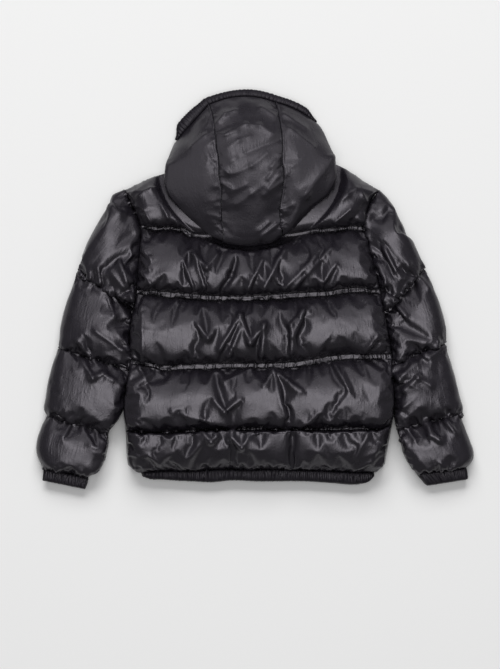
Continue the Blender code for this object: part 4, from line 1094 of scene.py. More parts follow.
# moulded or lacquered hard parts: fine scratches and a little dust in the roughness
def makeHard(name, color, metallic, roughness, scratch):
    material, tree, shader = newMaterial(name)
    place = addNode(tree, "ShaderNodeTexCoord")
    spots = addNode(tree, "ShaderNodeTexNoise", {
        "Vector": place.outputs["Object"], "Scale": grain["size"], "Detail": grain["detail"]})
    tint = addNode(tree, "ShaderNodeMix", {
        "Factor": spots.outputs["Fac"], "A": (*color, 1.0), "B": (*[c * grain["dust"] for c in color], 1.0)},
        data_type="RGBA")
    bump = addNode(tree, "ShaderNodeBump", {"Height": spots.outputs["Fac"], "Distance": scratch * mm})
    setInputs(tree, shader, {
        "Metallic": metallic, "Base Color": tint.outputs["Result"], "Normal": bump.outputs["Normal"],
        "Roughness": remap(tree, spots.outputs["Fac"], *roughness)})
    return material


weaveGroup = makeWeaveGroup()
crinkleGroup = makeCrinkleGroup()
clothOf = {name: makeCloth(name, weaveGroup, crinkleGroup) for name in finish}
threadFinish, teethFinish, metalFinish = (makeHard(name, *look) for name, look in hardFinish.items())
print("materials made")


# how many columns each column lies in from the nearer side edge
def columnsIn(count):
    return np.minimum(np.arange(count), np.arange(count)[::-1])


limit = bodyCut["zipEdge"]
padded = {
    "back_panel": bodyPanel("back", None, None),
    "front_left": bodyPanel("front", None, -limit),
    "front_right": bodyPanel("front", limit, None),
    "sleeve_left": sleeveWall("left"),
    "sleeve_right": sleeveWall("right"),
    "hood_center": hoodCenter(),
    "hood_side_left": hoodSide("left"),
    "hood_side_right": hoodSide("right"),
}
sheets = {}
for name, (outer, inner, held) in padded.items():
    normal, sign = outwardNormals(outer, inner)
    x, y = outer[..., 0], outer[..., 1]
    lift = cloth["creaseBefore"] * creaseLift(outer, creases.get(name, ()), 1.0)
    lift = lift * (normal[..., 2] > cloth["upward"])
    lift = lift + cloth["ripple"] * softNoise(x, y, cloth["rippleSize"], cloth["rippleSeed"])
    lift = lift * (1.0 - held) * np.minimum(columnsIn(held.shape[1]) / cloth["edgeColumns"], 1.0)
    begun = outer + normal * lift[..., None]
    sheets[name] = (begun, sign, held, cloth["ease"].get(name, 1.0))
settled = inflate(sheets)
print("cloth let out and filled")


# lines of a piece that puckers run out of: their points and the way into the cloth at each
def puckerLines(name, points, held):
    down, across = (unit(np.gradient(points, axis=axis)[..., :2]) for axis in (0, 1))
    sewn = np.nonzero(held.min(axis=1) >= 1.0)[0]    # rows of the simulated cloth, twice as far apart
    full = pucker["sleeves"] if name.startswith("sleeve") else 1.0
    lines = []
    if not name.startswith("hood"):
        for row in sewn:
            line = points[2 * row, :, :2]
            if row > 0 and row - 1 not in sewn:
                lines.append((line, -down[2 * row], full, 1.0))
            if row < len(held) - 1 and row + 1 not in sewn:
                lines.append((line, down[2 * row], full, 1.0))
    sides = pucker["hoodSides"] if name.startswith("hood") else pucker["sides"]
    for column, way in ((0, 1.0), (-1, -1.0)):
        lines.append((points[:, column, :2], way * across[:, column], *sides))
    return lines


quiltBand = {                    # flat strip between two rows of stitching
    "tilt": 1.0,                 # how far its edges lean up and down along it
    "tiltSize": 26.0,
    "tiltShift": 31.0,           # so that no two bands lean alike
    "start": (2.0, 8.0),         # of its first tick from the side
    "halfWidth": (1.1, 1.9),
    "spacing": (4.0, 20.0),
    "depth": 1.25,
    "depthRange": (0.5, 1.6),
    "raised": (0.25, 0.7),       # share of the ticks that stand up, and how far
    "slant": 0.35,
    "busyEdge": 120.0,           # ticks stand closer together up to here from each side
    "busyShare": 0.4,
}


# ticks across a quilted band, where its stitching has drawn the cloth together
def bandTicks(points, lift, held, seed):
    sewn = held.min(axis=1) >= 1.0
    rows = [r for r in range(1, len(sewn) - 1) if sewn[r] and sewn[r - 1] and sewn[r + 1]]
    random = np.random.default_rng(seed)
    share, raised = quiltBand["raised"]
    for row in rows[::2]:
        fine = 2 * row           # third of the band's seven rows in the finer cloth
        x = points[fine, :, 0]
        for r in range(fine - 2, fine + 5):
            tilt = softNoise(x, quiltBand["tiltShift"] * row, quiltBand["tiltSize"], seed)
            lift[r] += quiltBand["tilt"] * tilt * (r - fine - 1) / 3.0
        place = x[0] + random.uniform(*quiltBand["start"])
        while place < x[-1]:
            half = random.uniform(*quiltBand["halfWidth"])
            height = quiltBand["depth"] * random.uniform(*quiltBand["depthRange"])
            height *= raised if random.uniform() < share else -1.0
            slant = random.normal(0.0, quiltBand["slant"])
            for r in range(fine - 3, fine + 6):
                aside = points[r, :, 0] - place - slant * (points[r, :, 1] - points[fine, 0, 1])
                lift[r] += height * np.exp(-(aside / half) ** 2)
            fromSide = min(place - x[0], x[-1] - place)
            closer = blend(quiltBand["busyShare"], 1.0, float(ease(0.0, quiltBand["busyEdge"], fromSide)))
            place += random.uniform(*quiltBand["spacing"]) * closer
    return lift


foldColumn = {name: padded[name][0].shape[1] // 2 for name in ("sleeve_left", "sleeve_right")}
foldColumn.update({name: hoodCut["sideColumns"][0] for name in ("hood_side_left", "hood_side_right")})
for seed, (name, (outer, inner, held)) in enumerate(padded.items()):
    if name in ("back_panel", "front_left", "front_right"):
        yoke = np.array([k == 0 for k, _, _ in bodyRows()], dtype=float)[:, None]
        share, times = cloth["calmYoke"]
        settled[name] = calmed(settled[name], outer, share * yoke * (1.0 - held), times)
    if name == "back_panel":
        share, times = cloth["keepForm"]
        slow = calmed(settled[name], outer, 1.0 - held, times) - outer
        rise = np.maximum(outer[..., 2] - inner[..., 2] - cut["seamThickness"], 0.0) * (1.0 - held)
        slow[..., 2] -= rise * cloth["plump"]
        settled[name] = settled[name] - share * slow
    if name.startswith("hood"):
        share, times = cloth["calmHood"]
        settled[name] = calmed(settled[name], outer, share * (1.0 - held), times)
    if name in foldColumn:
        settled[name] = keepOutline(settled[name], outer, foldColumn[name], held)
    points = finer(settled[name], held.min(axis=1) >= 1.0)
    innerFine = finer(inner)
    heldFine = finer(held[..., None])[..., 0]
    normal, _ = outwardNormals(points, innerFine)
    lift = np.zeros(points.shape[:2])
    for number, (line, inward, strength, reach) in enumerate(puckerLines(name, points, held)):
        addPuckers(lift, points, line, inward, 100 * seed + number, strength, reach)
    if not name.startswith("hood"):
        lift = bandTicks(points, lift, held, 900 + seed)
    folds = creaseLift(points, creases.get(name, ()), cloth["creaseNarrowing"])
    lift = lift + cloth["creaseAfter"] * folds * (normal[..., 2] > cloth["upward"])
    pressed = underHood(points[..., 0], points[..., 1]) if name == "back_panel" else 0.0
    lift = lift * np.minimum(columnsIn(points.shape[1]) / pucker["edgeColumns"], 1.0) * (1.0 - pressed)
    if name.startswith("hood_side"):
        waver = softNoise(points[:, :1, 1], 9.0 * seed, pucker["hoodRidgeSize"], pucker["hoodRidgeSeed"])
        ridge = np.array(pucker["hoodRidge"]) * (1.0 + pucker["hoodRidgeWaver"] * waver)
        lift[:, :len(pucker["hoodRidge"])] += ridge
    points = points + normal * lift[..., None]
    points[..., 2] = np.maximum(points[..., 2], cloth["lowest"])
    piece = closedWall(name + "_cloth", points, innerFine, clothOf["shell"])
    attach(piece, rigidBody)
    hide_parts(name)
    padded[name] = (points, innerFine, heldFine)
print("padded pieces made")


gathers = {                      # of every elastic edge
    "pitch": (3.0, 8.0),
    "size": (0.55, 1.0),
    "lean": 0.35,
    "leanReach": 6.0,
    "ends": (0.35, 1.4),         # how far down the band each one runs
    "endReach": 1.6,
    "leftOver": 0.45,            # share of a gather's height past its end
    "roundness": 0.7,
}


# rounded gathers with sharp valleys along a band, a row of heights from -1 to 1 for each of its rows
def gatherPattern(length, count, rows, seed):
    random = np.random.default_rng(seed)
    marks = [0.0]
    while marks[-1] < length:
        marks.append(marks[-1] + random.uniform(*gathers["pitch"]))
    marks = np.array(marks)
    size = random.uniform(*gathers["size"], len(marks))
    lean = random.normal(0.0, gathers["lean"], len(marks))
    ends = random.uniform(*gathers["ends"], len(marks))
    place = np.linspace(0.0, length, count)
    pattern = np.zeros((rows, count))
    for r in range(rows):
        down = r / (rows - 1)
        shift = np.interp(place, marks, lean) * gathers["leanReach"] * (down - 0.5)
        shifted = np.clip(place + shift, 0.0, length)
        k = np.clip(np.searchsorted(marks, shifted) - 1, 0, len(marks) - 2)
        t = (shifted - marks[k]) / (marks[k + 1] - marks[k])
        reach = np.clip(ends[k] * gathers["endReach"] - down, 0.0, 1.0)
        ridge = np.abs(np.sin(math.pi * t)) ** gathers["roundness"] * 2.0 - 1.0
        pattern[r] = ridge * size[k] * blend(gathers["leftOver"], 1.0, reach)
    return pattern


bands = {                        # gathered elastic edges of the hem and the cuffs
    "depth": 4.4,                # of the gathers
    "fadeTop": (5.0, 0.3),       # how soon the gathers deepen below the band's seam, and their share at it
    "fadeEnd": (6.0, 0.35),
    "step": 1.05,                # between the points round a band
    "rows": 13,
    "thickness": {"hem_band": 7.8, "cuff_left": 7.0, "cuff_right": 7.0},
    "seamThickness": 4.2,
    "endThickness": 2.8,
    "turned": 0.93,              # share of the way down where the band's edge is turned in
    "swell": 0.55,
    "edgeWaver": 0.8,
    "lowest": 0.3,
    "seed": {"hem_band": 31, "cuff_left": 44, "cuff_right": 45},
    "gather": 1.3,               # cloth sewn in for each length of the band
    "hemFold": 8.0,
    "hemRound": 12.0,
    "hemShows": 0.0185,          # metres of its width
    "hemEnds": (-193.0, 204.0),
    "hemX": (-193, -186, -156, -107, -75, -42, 3, 90, 138, 179, 196, 204),
    "hemY": (-319, -322.5, -325.5, -328.5, -330, -327, -328.5, -328.5, -331.5, -333, -328, -320),
    "cuffLevel": 9.0,
    "cuffFold": 7.0,
    "cuffRound": (9.0, 8.0),     # at its outer fold and at its inner edge
    "cuffEdge": 0.55,            # share of its thickness at its inner edge
    "cuffShows": 0.0215,         # metres of its width
    "cuffEnds": {"left": ((-363, -327), (-290, -342)), "right": ((364, -325), (295, -336))},
}


# a gathered band from its columns: where each starts and ends, how round and which way up it is
def makeBand(name, top, end, topIn, endIn, roundness, up, level):
    count, rows = len(top), bands["rows"]
    length = float(np.sum(np.linalg.norm(np.diff(top, axis=0), axis=1)))
    pattern = gatherPattern(length, count, rows, bands["seed"][name])
    down = np.linspace(0.0, 1.0, rows)[:, None]
    spot = top[None] + (end - top)[None] * down[..., None]
    spotIn = topIn[None] + (endIn - topIn)[None] * down[..., None]
    turned = bands["turned"]
    bulge = np.sin(math.pi * np.minimum(down, turned)) ** bands["swell"]
    thickness = blend(bands["seamThickness"], bands["thickness"][name], bulge)
    thickness = np.where(down > turned, bands["endThickness"], thickness)
    (topRate, topShare), (endRate, endShare) = bands["fadeTop"], bands["fadeEnd"]
    fade = np.minimum(down * topRate + topShare, (1.0 - down) * endRate + endShare)
    strength = bands["depth"] * np.clip(fade, 0.0, 1.0)
    height = (cut["layerGap"] + thickness + 0.5 * strength * pattern) * roundness
    z = level(spot[..., 1]) + up * height
    across = unit(np.gradient(top, axis=0))
    outer = np.concatenate((spot + across[None] * (0.5 * pattern * strength)[..., None],
                            np.maximum(z, bands["lowest"])[..., None]), axis=-1)
    outer[-1, :, 1] += bands["edgeWaver"] * pattern[-1]
    zIn = level(spotIn[..., 1]) + up * cut["layerGap"] * np.where(roundness > 0, 1.0, 0.0)
    inner = np.concatenate((spotIn, zIn[..., None]), axis=-1)
    piece = closedWall(name + "_cloth", outer, inner, clothOf["elastic"], step=4)
    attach(piece, rigidBody)
    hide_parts(name)


def makeCuff(side):
    rows = sleeveRows(side)
    topOuter, topInner = sleeveSpot(side, rows, rows[-1], np.array((0.0, 1.0)))
    endOuter, endInner = (np.array(end, dtype=float) for end in bands["cuffEnds"][side])
    length = float(np.linalg.norm(topInner - topOuter))
    count = round(length / bands["step"])
    steps = np.linspace(0.0, 1.0, count + 1)
    share = np.concatenate((steps[::-1], steps[1:]))
    up = np.concatenate((np.ones(count + 1), -np.ones(count)))
    shareIn = (bands["cuffFold"] + (length - bands["cuffFold"]) * share) / length
    below = np.array((0.0, -cut["seamGap"]))
    atFold, atEdge = bands["cuffRound"]
    roundness = quarterRound(share * length, atFold)
    roundness = roundness * blend(bands["cuffEdge"], 1.0, quarterRound((1.0 - share) * length, atEdge))
    makeBand("cuff_" + side, blend(topOuter, topInner, share[:, None]) + below,
             blend(endOuter, endInner, share[:, None]),
             blend(topOuter, topInner, shareIn[:, None]) + below,
             blend(endOuter, endInner, shareIn[:, None]),
             roundness, up, lambda y: bands["cuffLevel"] + 0 * y)


def makeHemBand():
    left, right = bands["hemEnds"]
    edge = bodyCut["zipEdge"]
    parts = ((-edge, left, -1.0), (left, right, 1.0), (right, edge, -1.0))    # start, stop and way up
    x, up = [], []
    for number, (start, stop, way) in enumerate(parts):
        count = round(abs(stop - start) / bands["step"])
        run = blend(start, stop, np.linspace(0.0, 1.0, count + 1))[min(number, 1):]
        x.append(run)
        up.append(np.full(len(run), way))
    x, up = np.concatenate(x), np.concatenate(up)
    top = seamLine(len(quiltSeams) - 1, x) - cut["seamGap"]
    end = readCurve(bands["hemX"], bands["hemY"], x)
    xIn = blend(left + bands["hemFold"], right - bands["hemFold"], (x - left) / (right - left))
    xIn = np.where(np.abs(x) <= edge + 0.01, x, xIn)     # the two ends at the zip stay where they are
    roundness = quarterRound(np.minimum(x - left, right - x), bands["hemRound"])
    makeBand("hem_band", np.stack((x, top), axis=-1), np.stack((x, end), axis=-1),
             np.stack((xIn, top), axis=-1), np.stack((xIn, end), axis=-1),
             roundness, up, middleLevel)


makeHemBand()
for side in ("left", "right"):
    makeCuff(side)
print("gathered bands made")


hoodEdge = {                     # gathered binding round the face opening
    "x": (-138, -122, -96, -80, -62, 0, 60, 105),
    "halfWidth": (6.5, 9.0, 9.0, 7.2, 6.6, 6.6, 6.3, 5.8),
    "halfHeight": 4.2,
    "hidden": 2.4,               # half width where it runs under the hood
    "hiddenGathers": 0.35,
    "gap": -0.4,
    "turns": ((0.0, 24.0), (4.0, 30.0)),     # where it widens after its left and before its right fold
    "softening": {"path": 12, "away": 30, "center": 10},
    "halfTurn": 162.0,           # degrees that it reaches round its edge, over and under
    "wall": 0.9,
    "around": 19,
    "step": 1.15,
    "leastStep": 0.05,
    "depth": 1.3,
    "seed": 77,
    "gather": 1.1,               # length of its cut for each length it takes
    "cutWidth": 20.0,
}


def makeBinding():
    edges = []
    for name, order in (("hood_side_left", -1), ("hood_center", 1), ("hood_side_right", 1)):
        points, inside, _ = padded[name]
        rows = (points[-1][::order], inside[-1][::order])
        edges.append(tuple(row[1:-1] for row in rows) if name == "hood_center" else rows)
    outside, inside = (np.concatenate([edge[k] for edge in edges]) for k in (0, 1))
    line = (outside + inside) / 2
    keep = np.concatenate(([True], np.linalg.norm(np.diff(line, axis=0), axis=1) > hoodEdge["leastStep"]))
    line, outside, inside = line[keep], outside[keep], inside[keep]
    along = lengthAlong(line)
    count = round(along[-1] / hoodEdge["step"])
    place = np.linspace(0.0, along[-1], count)

    def resampled(values):
        return np.stack([np.interp(place, along, values[:, k]) for k in range(values.shape[1])], axis=-1)

    def softened(values, task):
        for _ in range(hoodEdge["softening"][task]):
            values = smoothedOnce(values)
        return values

    path = softened(resampled(line), "path")
    depth = resampled(outside - inside)
    ahead = np.gradient(path, axis=0)
    way = np.stack((-ahead[:, 1], ahead[:, 0], 0 * ahead[:, 0]), axis=-1)
    away = unit(softened(way * np.where(ahead[:, :1] > 0, 1.0, -1.0), "away"))
    reach = np.abs(np.sum(depth * away, axis=1)) / 2
    folds = (place[int(np.argmin(path[:, 0]))], place[int(np.argmax(path[:, 0]))])
    leftTurn, rightTurn = hoodEdge["turns"]
    shown = np.minimum(ease(*leftTurn, place - folds[0]), ease(*rightTurn, folds[1] - place))
    full = readCurve(hoodEdge["x"], hoodEdge["halfWidth"], path[:, 0])
    halfWidth = blend(hoodEdge["hidden"], full, shown)
    halfHeight = blend(hoodEdge["hidden"], hoodEdge["halfHeight"], shown)
    center = softened(path + away * (reach + halfWidth + hoodEdge["gap"])[:, None], "center")
    upright = unit(np.cross(np.gradient(center, axis=0), away))
    upright *= np.sign(upright[:, 2:])
    rows = hoodEdge["around"]
    pattern = gatherPattern(float(place[-1]), count, rows, hoodEdge["seed"])
    angle = np.radians(np.linspace(hoodEdge["halfTurn"], -hoodEdge["halfTurn"], rows))[:, None]
    wave = hoodEdge["depth"] * 0.5 * pattern * blend(hoodEdge["hiddenGathers"], 1.0, shown)
    rings = []
    for wall in (0.0, hoodEdge["wall"]):
        wide = (halfWidth - wall + (wave if wall == 0.0 else 0.0)) * np.cos(angle)
        high = (halfHeight - wall + (wave if wall == 0.0 else 0.0)) * np.sin(angle)
        rings.append(center[None] + away[None] * wide[..., None] + upright[None] * high[..., None])
    rings[0][..., 2] = np.maximum(rings[0][..., 2], bands["lowest"])
    piece = closedWall("hood_binding_cloth", rings[0], rings[1], clothOf["elastic"], step=3)
    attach(piece, rigidBody)
    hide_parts("hood_binding")


makeBinding()
print("hood binding made")


# a tree that sets small shapes along the lines of a mesh: stitches and zip teeth
def makeRowTree(name, shape):
    tree, given, result = newTree(
        name, "GeometryNodeTree",
        (("Path", "NodeSocketGeometry", None), ("Pitch", "NodeSocketFloat", None),
         ("Length", "NodeSocketFloat", None), ("Width", "NodeSocketFloat", None),
         ("Finish", "NodeSocketMaterial", None)),
        (("Row", "NodeSocketGeometry"),))
    curve = addNode(tree, "GeometryNodeMeshToCurve", {"Mesh": given.outputs["Path"]})
    spots = addNode(tree, "GeometryNodeCurveToPoints", {
        "Curve": curve.outputs["Curve"], "Length": given.outputs["Pitch"]}, mode="LENGTH")
    if shape is None:
        bead = addNode(tree, "GeometryNodeMeshUVSphere", {"Segments": 6, "Rings": 5, "Radius": 0.5})
        laid = {"Instance": bead.outputs["Mesh"], "Rotation": spots.outputs["Rotation"]}
        sizes = ("Width", "Width", "Length")
    else:
        tooth = addNode(tree, "GeometryNodeObjectInfo", {"Object": shape})
        laid = {"Instance": tooth.outputs["Geometry"]}
        sizes = ("Width", "Length", "Width")
    size = addNode(tree, "ShaderNodeCombineXYZ", {
        axis: given.outputs[label] for axis, label in zip("XYZ", sizes)})
    copies = addNode(tree, "GeometryNodeInstanceOnPoints", {
        "Points": spots.outputs["Points"], "Scale": size.outputs[0], **laid})
    real = addNode(tree, "GeometryNodeRealizeInstances", {"Geometry": copies.outputs["Instances"]})
    finished = addNode(tree, "GeometryNodeSetMaterial", {
        "Geometry": real.outputs["Geometry"], "Material": given.outputs["Finish"]})
    setInputs(tree, result, {"Row": finished.outputs["Geometry"]})
    return tree


# plain mesh of the shapes set along paths, which are lists of points on the drawing
def makeRow(name, tree, paths, pitch, length, width, material):
    points, edges = [], []
    for path in paths:
        start = len(points)
        points += ((np.asarray(path) - drawingMiddle) * mm).tolist()
        edges += [(n, n + 1) for n in range(start, len(points) - 1)]
    mesh = bpy.data.meshes.new(name + "_path")
    mesh.from_pydata(points, edges, [])
    carrier = addObject(name + "_path", mesh)
    change = carrier.modifiers.new("row", "NODES")
    change.node_group = tree
    socket = {item.name: item.identifier for item in tree.interface.items_tree if item.in_out == "INPUT"}
    for label, value in (("Pitch", pitch * mm), ("Length", length), ("Width", width), ("Finish", material)):
        change[socket[label]] = value
    bpy.context.view_layer.update()
    graph = bpy.context.evaluated_depsgraph_get()
    result = bpy.data.meshes.new_from_object(carrier.evaluated_get(graph))
    bpy.data.objects.remove(carrier, do_unlink=True)
    return addObject(name, result)


stitch = {
    "pitch": 2.9,
    "length": 2.3,
    "width": 0.55,
    "height": 0.12,              # of the thread's middle over the cloth
    "fromEdge": 2,               # columns between a row that runs down a piece and its edge
}


def makeStitches():
    paths = []
    fromEdge = stitch["fromEdge"]
    for name, (points, inner, held) in padded.items():
        normal, _ = outwardNormals(points, inner)
        raised = points + normal * stitch["height"]
        if not name.startswith("hood"):
            sewn = [r for r in np.nonzero(held.min(axis=1) >= 0.999)[0] if r % 2 == 0]
            ends = [r for r in sewn if r - 2 not in sewn or r + 2 not in sewn]
            paths += [raised[r] for r in ends if 0 < r < len(points) - 1]
        if name in ("hood_center", "front_right"):
            paths.append(raised[:, fromEdge])
        if name in ("hood_center", "front_left"):
            paths.append(raised[:, -1 - fromEdge])
    tree = makeRowTree("stitchRow", None)
    piece = makeRow("quilting_stitches", tree, paths, stitch["pitch"], stitch["length"] * mm,
                    stitch["width"] * mm, threadFinish)
    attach(piece, rigidBody)


zipper = {
    "top": 187.0,
    "bottom": -326.0,
    "halfWidth": 9.0,
    "depth": 2.0,                # of the tape's lower face under the lining
    "tape": 1.2,
    "tapeCut": 10.0,             # width of each tape with what is sewn in
    "tapeGrid": (172, 8),
    "innerStep": 7,
    "toothPitch": 2.8,
    "tooth": (3.7, 1.5, 2.4),    # across, along and high
    "toothOutline": ((0.0, 0.32), (0.12, 0.5), (0.34, 0.5), (0.42, 0.3), (0.62, 0.34), (1.0, 0.5)),
    "toothLevels": ((-0.5, 0.82), (-0.3, 1.0), (0.5, 1.0)),      # height and width, both in shares
    "toothReach": 0.9,           # past the middle, between the teeth of the other side
    "toothSunk": 0.05,
    "teethShy": (4.0, 6.0),      # from the tape's top and bottom
    "teethPoints": 60,
    "chainDepth": 5.6,           # from the tapes' upper face to the lower face of the teeth
    "sliderY": 176.0,
    "sliderSize": (9.0, 13.0, 2.2),
    "bridge": (2.4, 8.0, 4.2),
    "bridgeHole": (4.8, 2.5),
    "plateGap": 0.3,             # from the teeth to the plate, and from the plate to the bridge's hole
    "sunk": 0.3,                 # how far the bridge reaches into the plate
    "pullSize": (7.0, 22.0, 1.2),
    "pullWindow": (3.8, 5.4),
    "dent": (3.6, 8.0, 0.5),
    "dentPlace": 0.66,           # share of the pull tab's length
    "corners": {"plate": 3.0, "bridge": 1.5, "hole": 0.9, "tab": 2.6, "window": 1.2, "dent": 1.7},
    "cornerSteps": 5,
    "edges": {"slider": 0.3, "pull": 0.25},
    "edgeSteps": 2,
    "sharpFrom": 40.0,           # edges that turn by more than this stay sharp
}


def zipLevel(y):
    return middleLevel(y) - cut["layerGap"] - cut["seamGap"] / 2


def makeTape(side):
    rows, columns = zipper["tapeGrid"]
    y = np.linspace(zipper["top"], zipper["bottom"], rows)
    x = sideSign[side] * np.linspace(cut["seamGap"] / 2, zipper["halfWidth"], columns)
    gridX, gridY = np.meshgrid(x, y)
    bottom = zipLevel(gridY) - zipper["depth"]
    outer = np.stack((gridX, gridY, bottom), axis=-1)
    inner = np.stack((gridX, gridY, bottom + zipper["tape"]), axis=-1)
    piece = closedWall("zip_tape_" + side + "_cloth", outer, inner, clothOf["tape"], zipper["innerStep"])
    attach(piece, rigidBody)
    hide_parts("zip_tape_" + side)


# a moulded tooth with a rounded head, its foot at +X
def toothShape():
    width, length, height = zipper["tooth"]
    mesh = bpy.data.meshes.new("tooth")
    work = bmesh.new()
    outline = zipper["toothOutline"]
    loop = [(a, -b) for a, b in outline] + [(a, b) for a, b in reversed(outline)]
    rings = []
    for level, shrink in zipper["toothLevels"]:
        rings.append([work.verts.new((((a - 0.5) * shrink + 0.5) * width * mm, b * shrink * length * mm,
                                      level * height * mm)) for a, b in loop])
    count = len(loop)
    for low, high in zip(rings[:-1], rings[1:]):
        for n in range(count):
            work.faces.new((low[n], low[(n + 1) % count], high[(n + 1) % count], high[n]))
    work.faces.new(tuple(reversed(rings[0])))
    work.faces.new(tuple(rings[-1]))
    work.to_mesh(mesh)
    work.free()
    return mesh


def makeTeeth(side):
    mesh = toothShape()
    if side == "left":
        mesh.transform(Matrix.Rotation(math.pi, 4, "Z"))
    shape = addObject("tooth_" + side, mesh)
    shyTop, shyBottom = zipper["teethShy"]
    start = zipper["top"] - shyTop - (zipper["toothPitch"] / 2 if side == "left" else 0.0)
    y = np.linspace(start, zipper["bottom"] + shyBottom, zipper["teethPoints"])
    level = zipLevel(y) - zipper["depth"] - zipper["tooth"][2] / 2 + zipper["toothSunk"]
    path = np.stack((np.full_like(y, -sideSign[side] * zipper["toothReach"]), y, level), axis=-1)
    tree = makeRowTree("teethRow" + side, shape)
    piece = makeRow("zip_teeth_" + side, tree, [path], zipper["toothPitch"], 1.0, 1.0, teethFinish)
    bpy.data.objects.remove(shape, do_unlink=True)
    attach(piece, rigidBody)
    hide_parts("zip_tape_" + side)


# prism with rounded corners: its outline lies across the given axis, its sizes along the other two
def roundedPrism(name, middle, size, axis):
    radius = zipper["corners"][name]
    steps = zipper["cornerSteps"]
    flat = [k for k in range(3) if k != axis]
    half = [size[k] / 2 - radius for k in flat]
    outline = []
    for quarter, (su, sv) in enumerate(((1, 1), (-1, 1), (-1, -1), (1, -1))):
        for n in range(steps + 1):
            angle = math.pi / 2 * (quarter + n / steps)
            outline.append((su * half[0] + radius * math.cos(angle), sv * half[1] + radius * math.sin(angle)))
    work = bmesh.new()
    rings = []
    for way in (-0.5, 0.5):
        ring = []
        for u, v in outline:
            spot = [0.0, 0.0, 0.0]
            spot[flat[0]], spot[flat[1]], spot[axis] = u, v, way * size[axis]
            ring.append(work.verts.new([(spot[k] + middle[k] - drawingMiddle[k]) * mm for k in range(3)]))
        rings.append(ring)
    count = len(outline)
    for n in range(count):
        work.faces.new((rings[0][n], rings[0][(n + 1) % count], rings[1][(n + 1) % count], rings[1][n]))
    work.faces.new(rings[0])
    work.faces.new(rings[1])
    bmesh.ops.recalc_face_normals(work, faces=work.faces[:])
    mesh = bpy.data.meshes.new(name)
    work.to_mesh(mesh)
    work.free()
    return addObject(name, mesh)


# joins and cuts small solids, rounds their edges and leaves one plain mesh
def hardPiece(name, base, joined, cutters, edge, material):
    for others, operation in ((joined, "UNION"), (cutters, "DIFFERENCE")):
        for other in others:
            change = base.modifiers.new("solid", "BOOLEAN")
            change.operation = operation
            change.solver = "EXACT"
            change.object = other
    bevel = base.modifiers.new("edges", "BEVEL")
    bevel.width = edge * mm
    bevel.segments = zipper["edgeSteps"]
    bevel.limit_method = "ANGLE"
    bpy.context.view_layer.update()
    graph = bpy.context.evaluated_depsgraph_get()
    mesh = bpy.data.meshes.new_from_object(base.evaluated_get(graph))
    for other in [base] + joined + cutters:
        bpy.data.objects.remove(other, do_unlink=True)
    mesh.name = name
    mesh.shade_smooth()
    mesh.set_sharp_from_angle(angle=math.radians(zipper["sharpFrom"]))
    mesh.materials.clear()
    mesh.materials.append(material)
    return addObject(name, mesh)


def makeSlider():
    y = zipper["sliderY"]
    width, length, thickness = zipper["sliderSize"]
    gap, sunk = zipper["plateGap"], zipper["sunk"]
    plateZ = zipLevel(y) - zipper["chainDepth"] - gap - thickness / 2
    bridgeX, bridgeY, bridgeZ = zipper["bridge"]
    axisZ = plateZ - thickness / 2 - gap - zipper["bridgeHole"][1] / 2
    plate = roundedPrism("plate", (0, y, plateZ), (width, length, thickness), 2)
    bridge = roundedPrism("bridge", (0, y, plateZ - thickness / 2 - bridgeZ / 2 + sunk),
                          (bridgeX, bridgeY, bridgeZ + 2 * sunk), 0)
    hole = roundedPrism("hole", (0, y, axisZ), (bridgeX * 2, *zipper["bridgeHole"]), 0)
    body = hardPiece("zip_slider_metal", plate, [bridge], [hole], zipper["edges"]["slider"], metalFinish)
    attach(body, rigidBody)
    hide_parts("zip_slider")
    pullLength, bar = zipper["pullSize"][1:]
    windowX, windowY = zipper["pullWindow"]
    tab = roundedPrism("tab", (0, y + bar / 2 - pullLength / 2, axisZ), zipper["pullSize"], 2)
    window = roundedPrism("window", (0, y - bar / 2 - windowY / 2, axisZ), (windowX, windowY, bar * 3), 2)
    dent = roundedPrism("dent", (0, y - pullLength * zipper["dentPlace"], axisZ - bar / 2), zipper["dent"], 2)
    pull = hardPiece("zip_pull_metal", tab, [], [window, dent], zipper["edges"]["pull"], metalFinish)
    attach(pull, pullBody)
    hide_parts("zip_pull")


for side in ("left", "right"):
    makeTape(side)
    makeTeeth(side)
makeSlider()
makeStitches()
print("zip and stitches made")


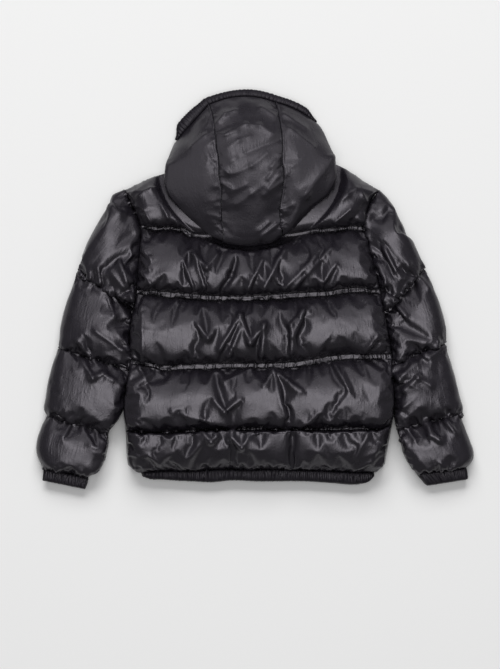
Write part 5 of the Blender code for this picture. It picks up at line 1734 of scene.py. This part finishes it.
studio = {                       # in metres
    "cameraHeight": 4.0,
    "sensor": 36.0,
    "viewWidth": 0.850,          # of the frame, at the height of the back
    "backHeight": 0.03,
    "viewCenter": (-0.0090, -0.0775),
    "floor": (0.82, 0.82, 0.815),
    "floorRoughness": 0.9,
    "floorHalf": 6.0,
    "floorLevel": -0.0005,
    "world": (0.24, 0.24, 0.245),
    "lamps": (                   # name, place, size, radiance, target, what it lights
        ("sheen_1", (0.0, -0.2, 2.20), (0.8, 0.9), 1.65, (0.0, -0.2, 0.0), "gloss", "other_pieces"),
        ("sheen_2", (0.0, -0.2, 2.22), (1.15, 1.5), 1.3, (0.0, -0.2, 0.0), "gloss", "other_pieces"),
        ("sheen_3", (0.0, -0.2, 2.24), (1.45, 2.2), 1.1, (0.0, -0.2, 0.0), "gloss", "other_pieces"),
        ("sheen_4", (0.0, -0.2, 2.26), (2.0, 2.9), 0.9, (0.0, -0.2, 0.0), "gloss", "other_pieces"),
        ("sheen_upper", (0.0, 1.9, 2.1), (3.0, 1.6), 0.9, (0.0, 0.0, 0.0), "gloss", "other_pieces"),
        ("hood_panel", (-0.05, 0.95, 2.1), (0.6, 0.9), 2.6, (0.0, 0.22, 0.05), "gloss", "hood_pieces"),
        ("hood_panel_wide", (-0.05, 1.15, 2.15), (1.4, 1.8), 0.8, (0.0, 0.22, 0.05), "gloss", "hood_pieces"),
        ("hood_surround", (0.0, 1.6, 2.2), (11.0, 4.2), 0.72, (0.0, 1.3, 0.0), "gloss", "hood_pieces"),
        ("key", (-0.6, 7.6, 5.6), (7.6, 4.1), 9.8, (0.0, -0.1, 0.0), "fill", None),
        ("overhead", (0.0, -0.4, 3.6), (2.6, 2.2), 2.0, (0.0, -0.1, 0.0), "fill", None),
    ),
}


# a rectangular lamp of the given radiance; "gloss" is seen only by shiny cloth, "fill" only by matt things
def softbox(name, place, size, radiance, target, task, lit):
    light = bpy.data.lights.new(name, "AREA")
    light.shape = "RECTANGLE"
    light.size, light.size_y = size
    light.energy = radiance * math.pi * size[0] * size[1]
    item = addObject(name, light)
    item.location = place
    item.rotation_euler = (Vector(target) - Vector(place)).to_track_quat("-Z", "Y").to_euler()
    item.visible_diffuse = task != "gloss"
    item.visible_glossy = task != "fill"
    item.visible_camera = False
    item.light_linking.receiver_collection = lit


def makeFloor():
    half, level = studio["floorHalf"], studio["floorLevel"]
    mesh = bpy.data.meshes.new("floor")
    corners = [(x * half, y * half, level) for x, y in ((-1, -1), (1, -1), (1, 1), (-1, 1))]
    mesh.from_pydata(corners, [], [(0, 1, 2, 3)])
    floor = addObject("floor", mesh)
    paper, tree, shader = newMaterial("pale_paper")
    setInputs(tree, shader, {"Base Color": (*studio["floor"], 1.0), "Roughness": studio["floorRoughness"]})
    mesh.materials.append(paper)
    return floor


# collections of what lies in the hood's own light and of all the rest
def lightGroups(pieces):
    groups = {None: None}
    for name, wanted in (("hood_pieces", True), ("other_pieces", False)):
        groups[name] = bpy.data.collections.new(name)
        for item in pieces:
            if item.name.startswith(("hood_center", "hood_side")) == wanted:
                groups[name].objects.link(item)
    return groups


def makeStudio():
    floor = makeFloor()
    world = bpy.data.worlds.new("soft_room")
    world.use_nodes = True
    world.node_tree.nodes["Background"].inputs["Color"].default_value = (*studio["world"], 1.0)
    bpy.context.scene.world = world
    bpy.context.scene.view_settings.view_transform = "Standard"
    groups = lightGroups([item for item in bpy.data.objects if item.type == "MESH" and item is not floor])
    for *lamp, lit in studio["lamps"]:
        softbox(*lamp, groups[lit])
    camera = bpy.data.cameras.new("camera")
    camera.sensor_fit = "HORIZONTAL"
    camera.sensor_width = studio["sensor"]
    camera.lens = studio["sensor"] * (studio["cameraHeight"] - studio["backHeight"]) / studio["viewWidth"]
    item = addObject("camera", camera)
    item.location = (*studio["viewCenter"], studio["cameraHeight"])
    bpy.context.scene.camera = item


makeStudio()
print("studio set")
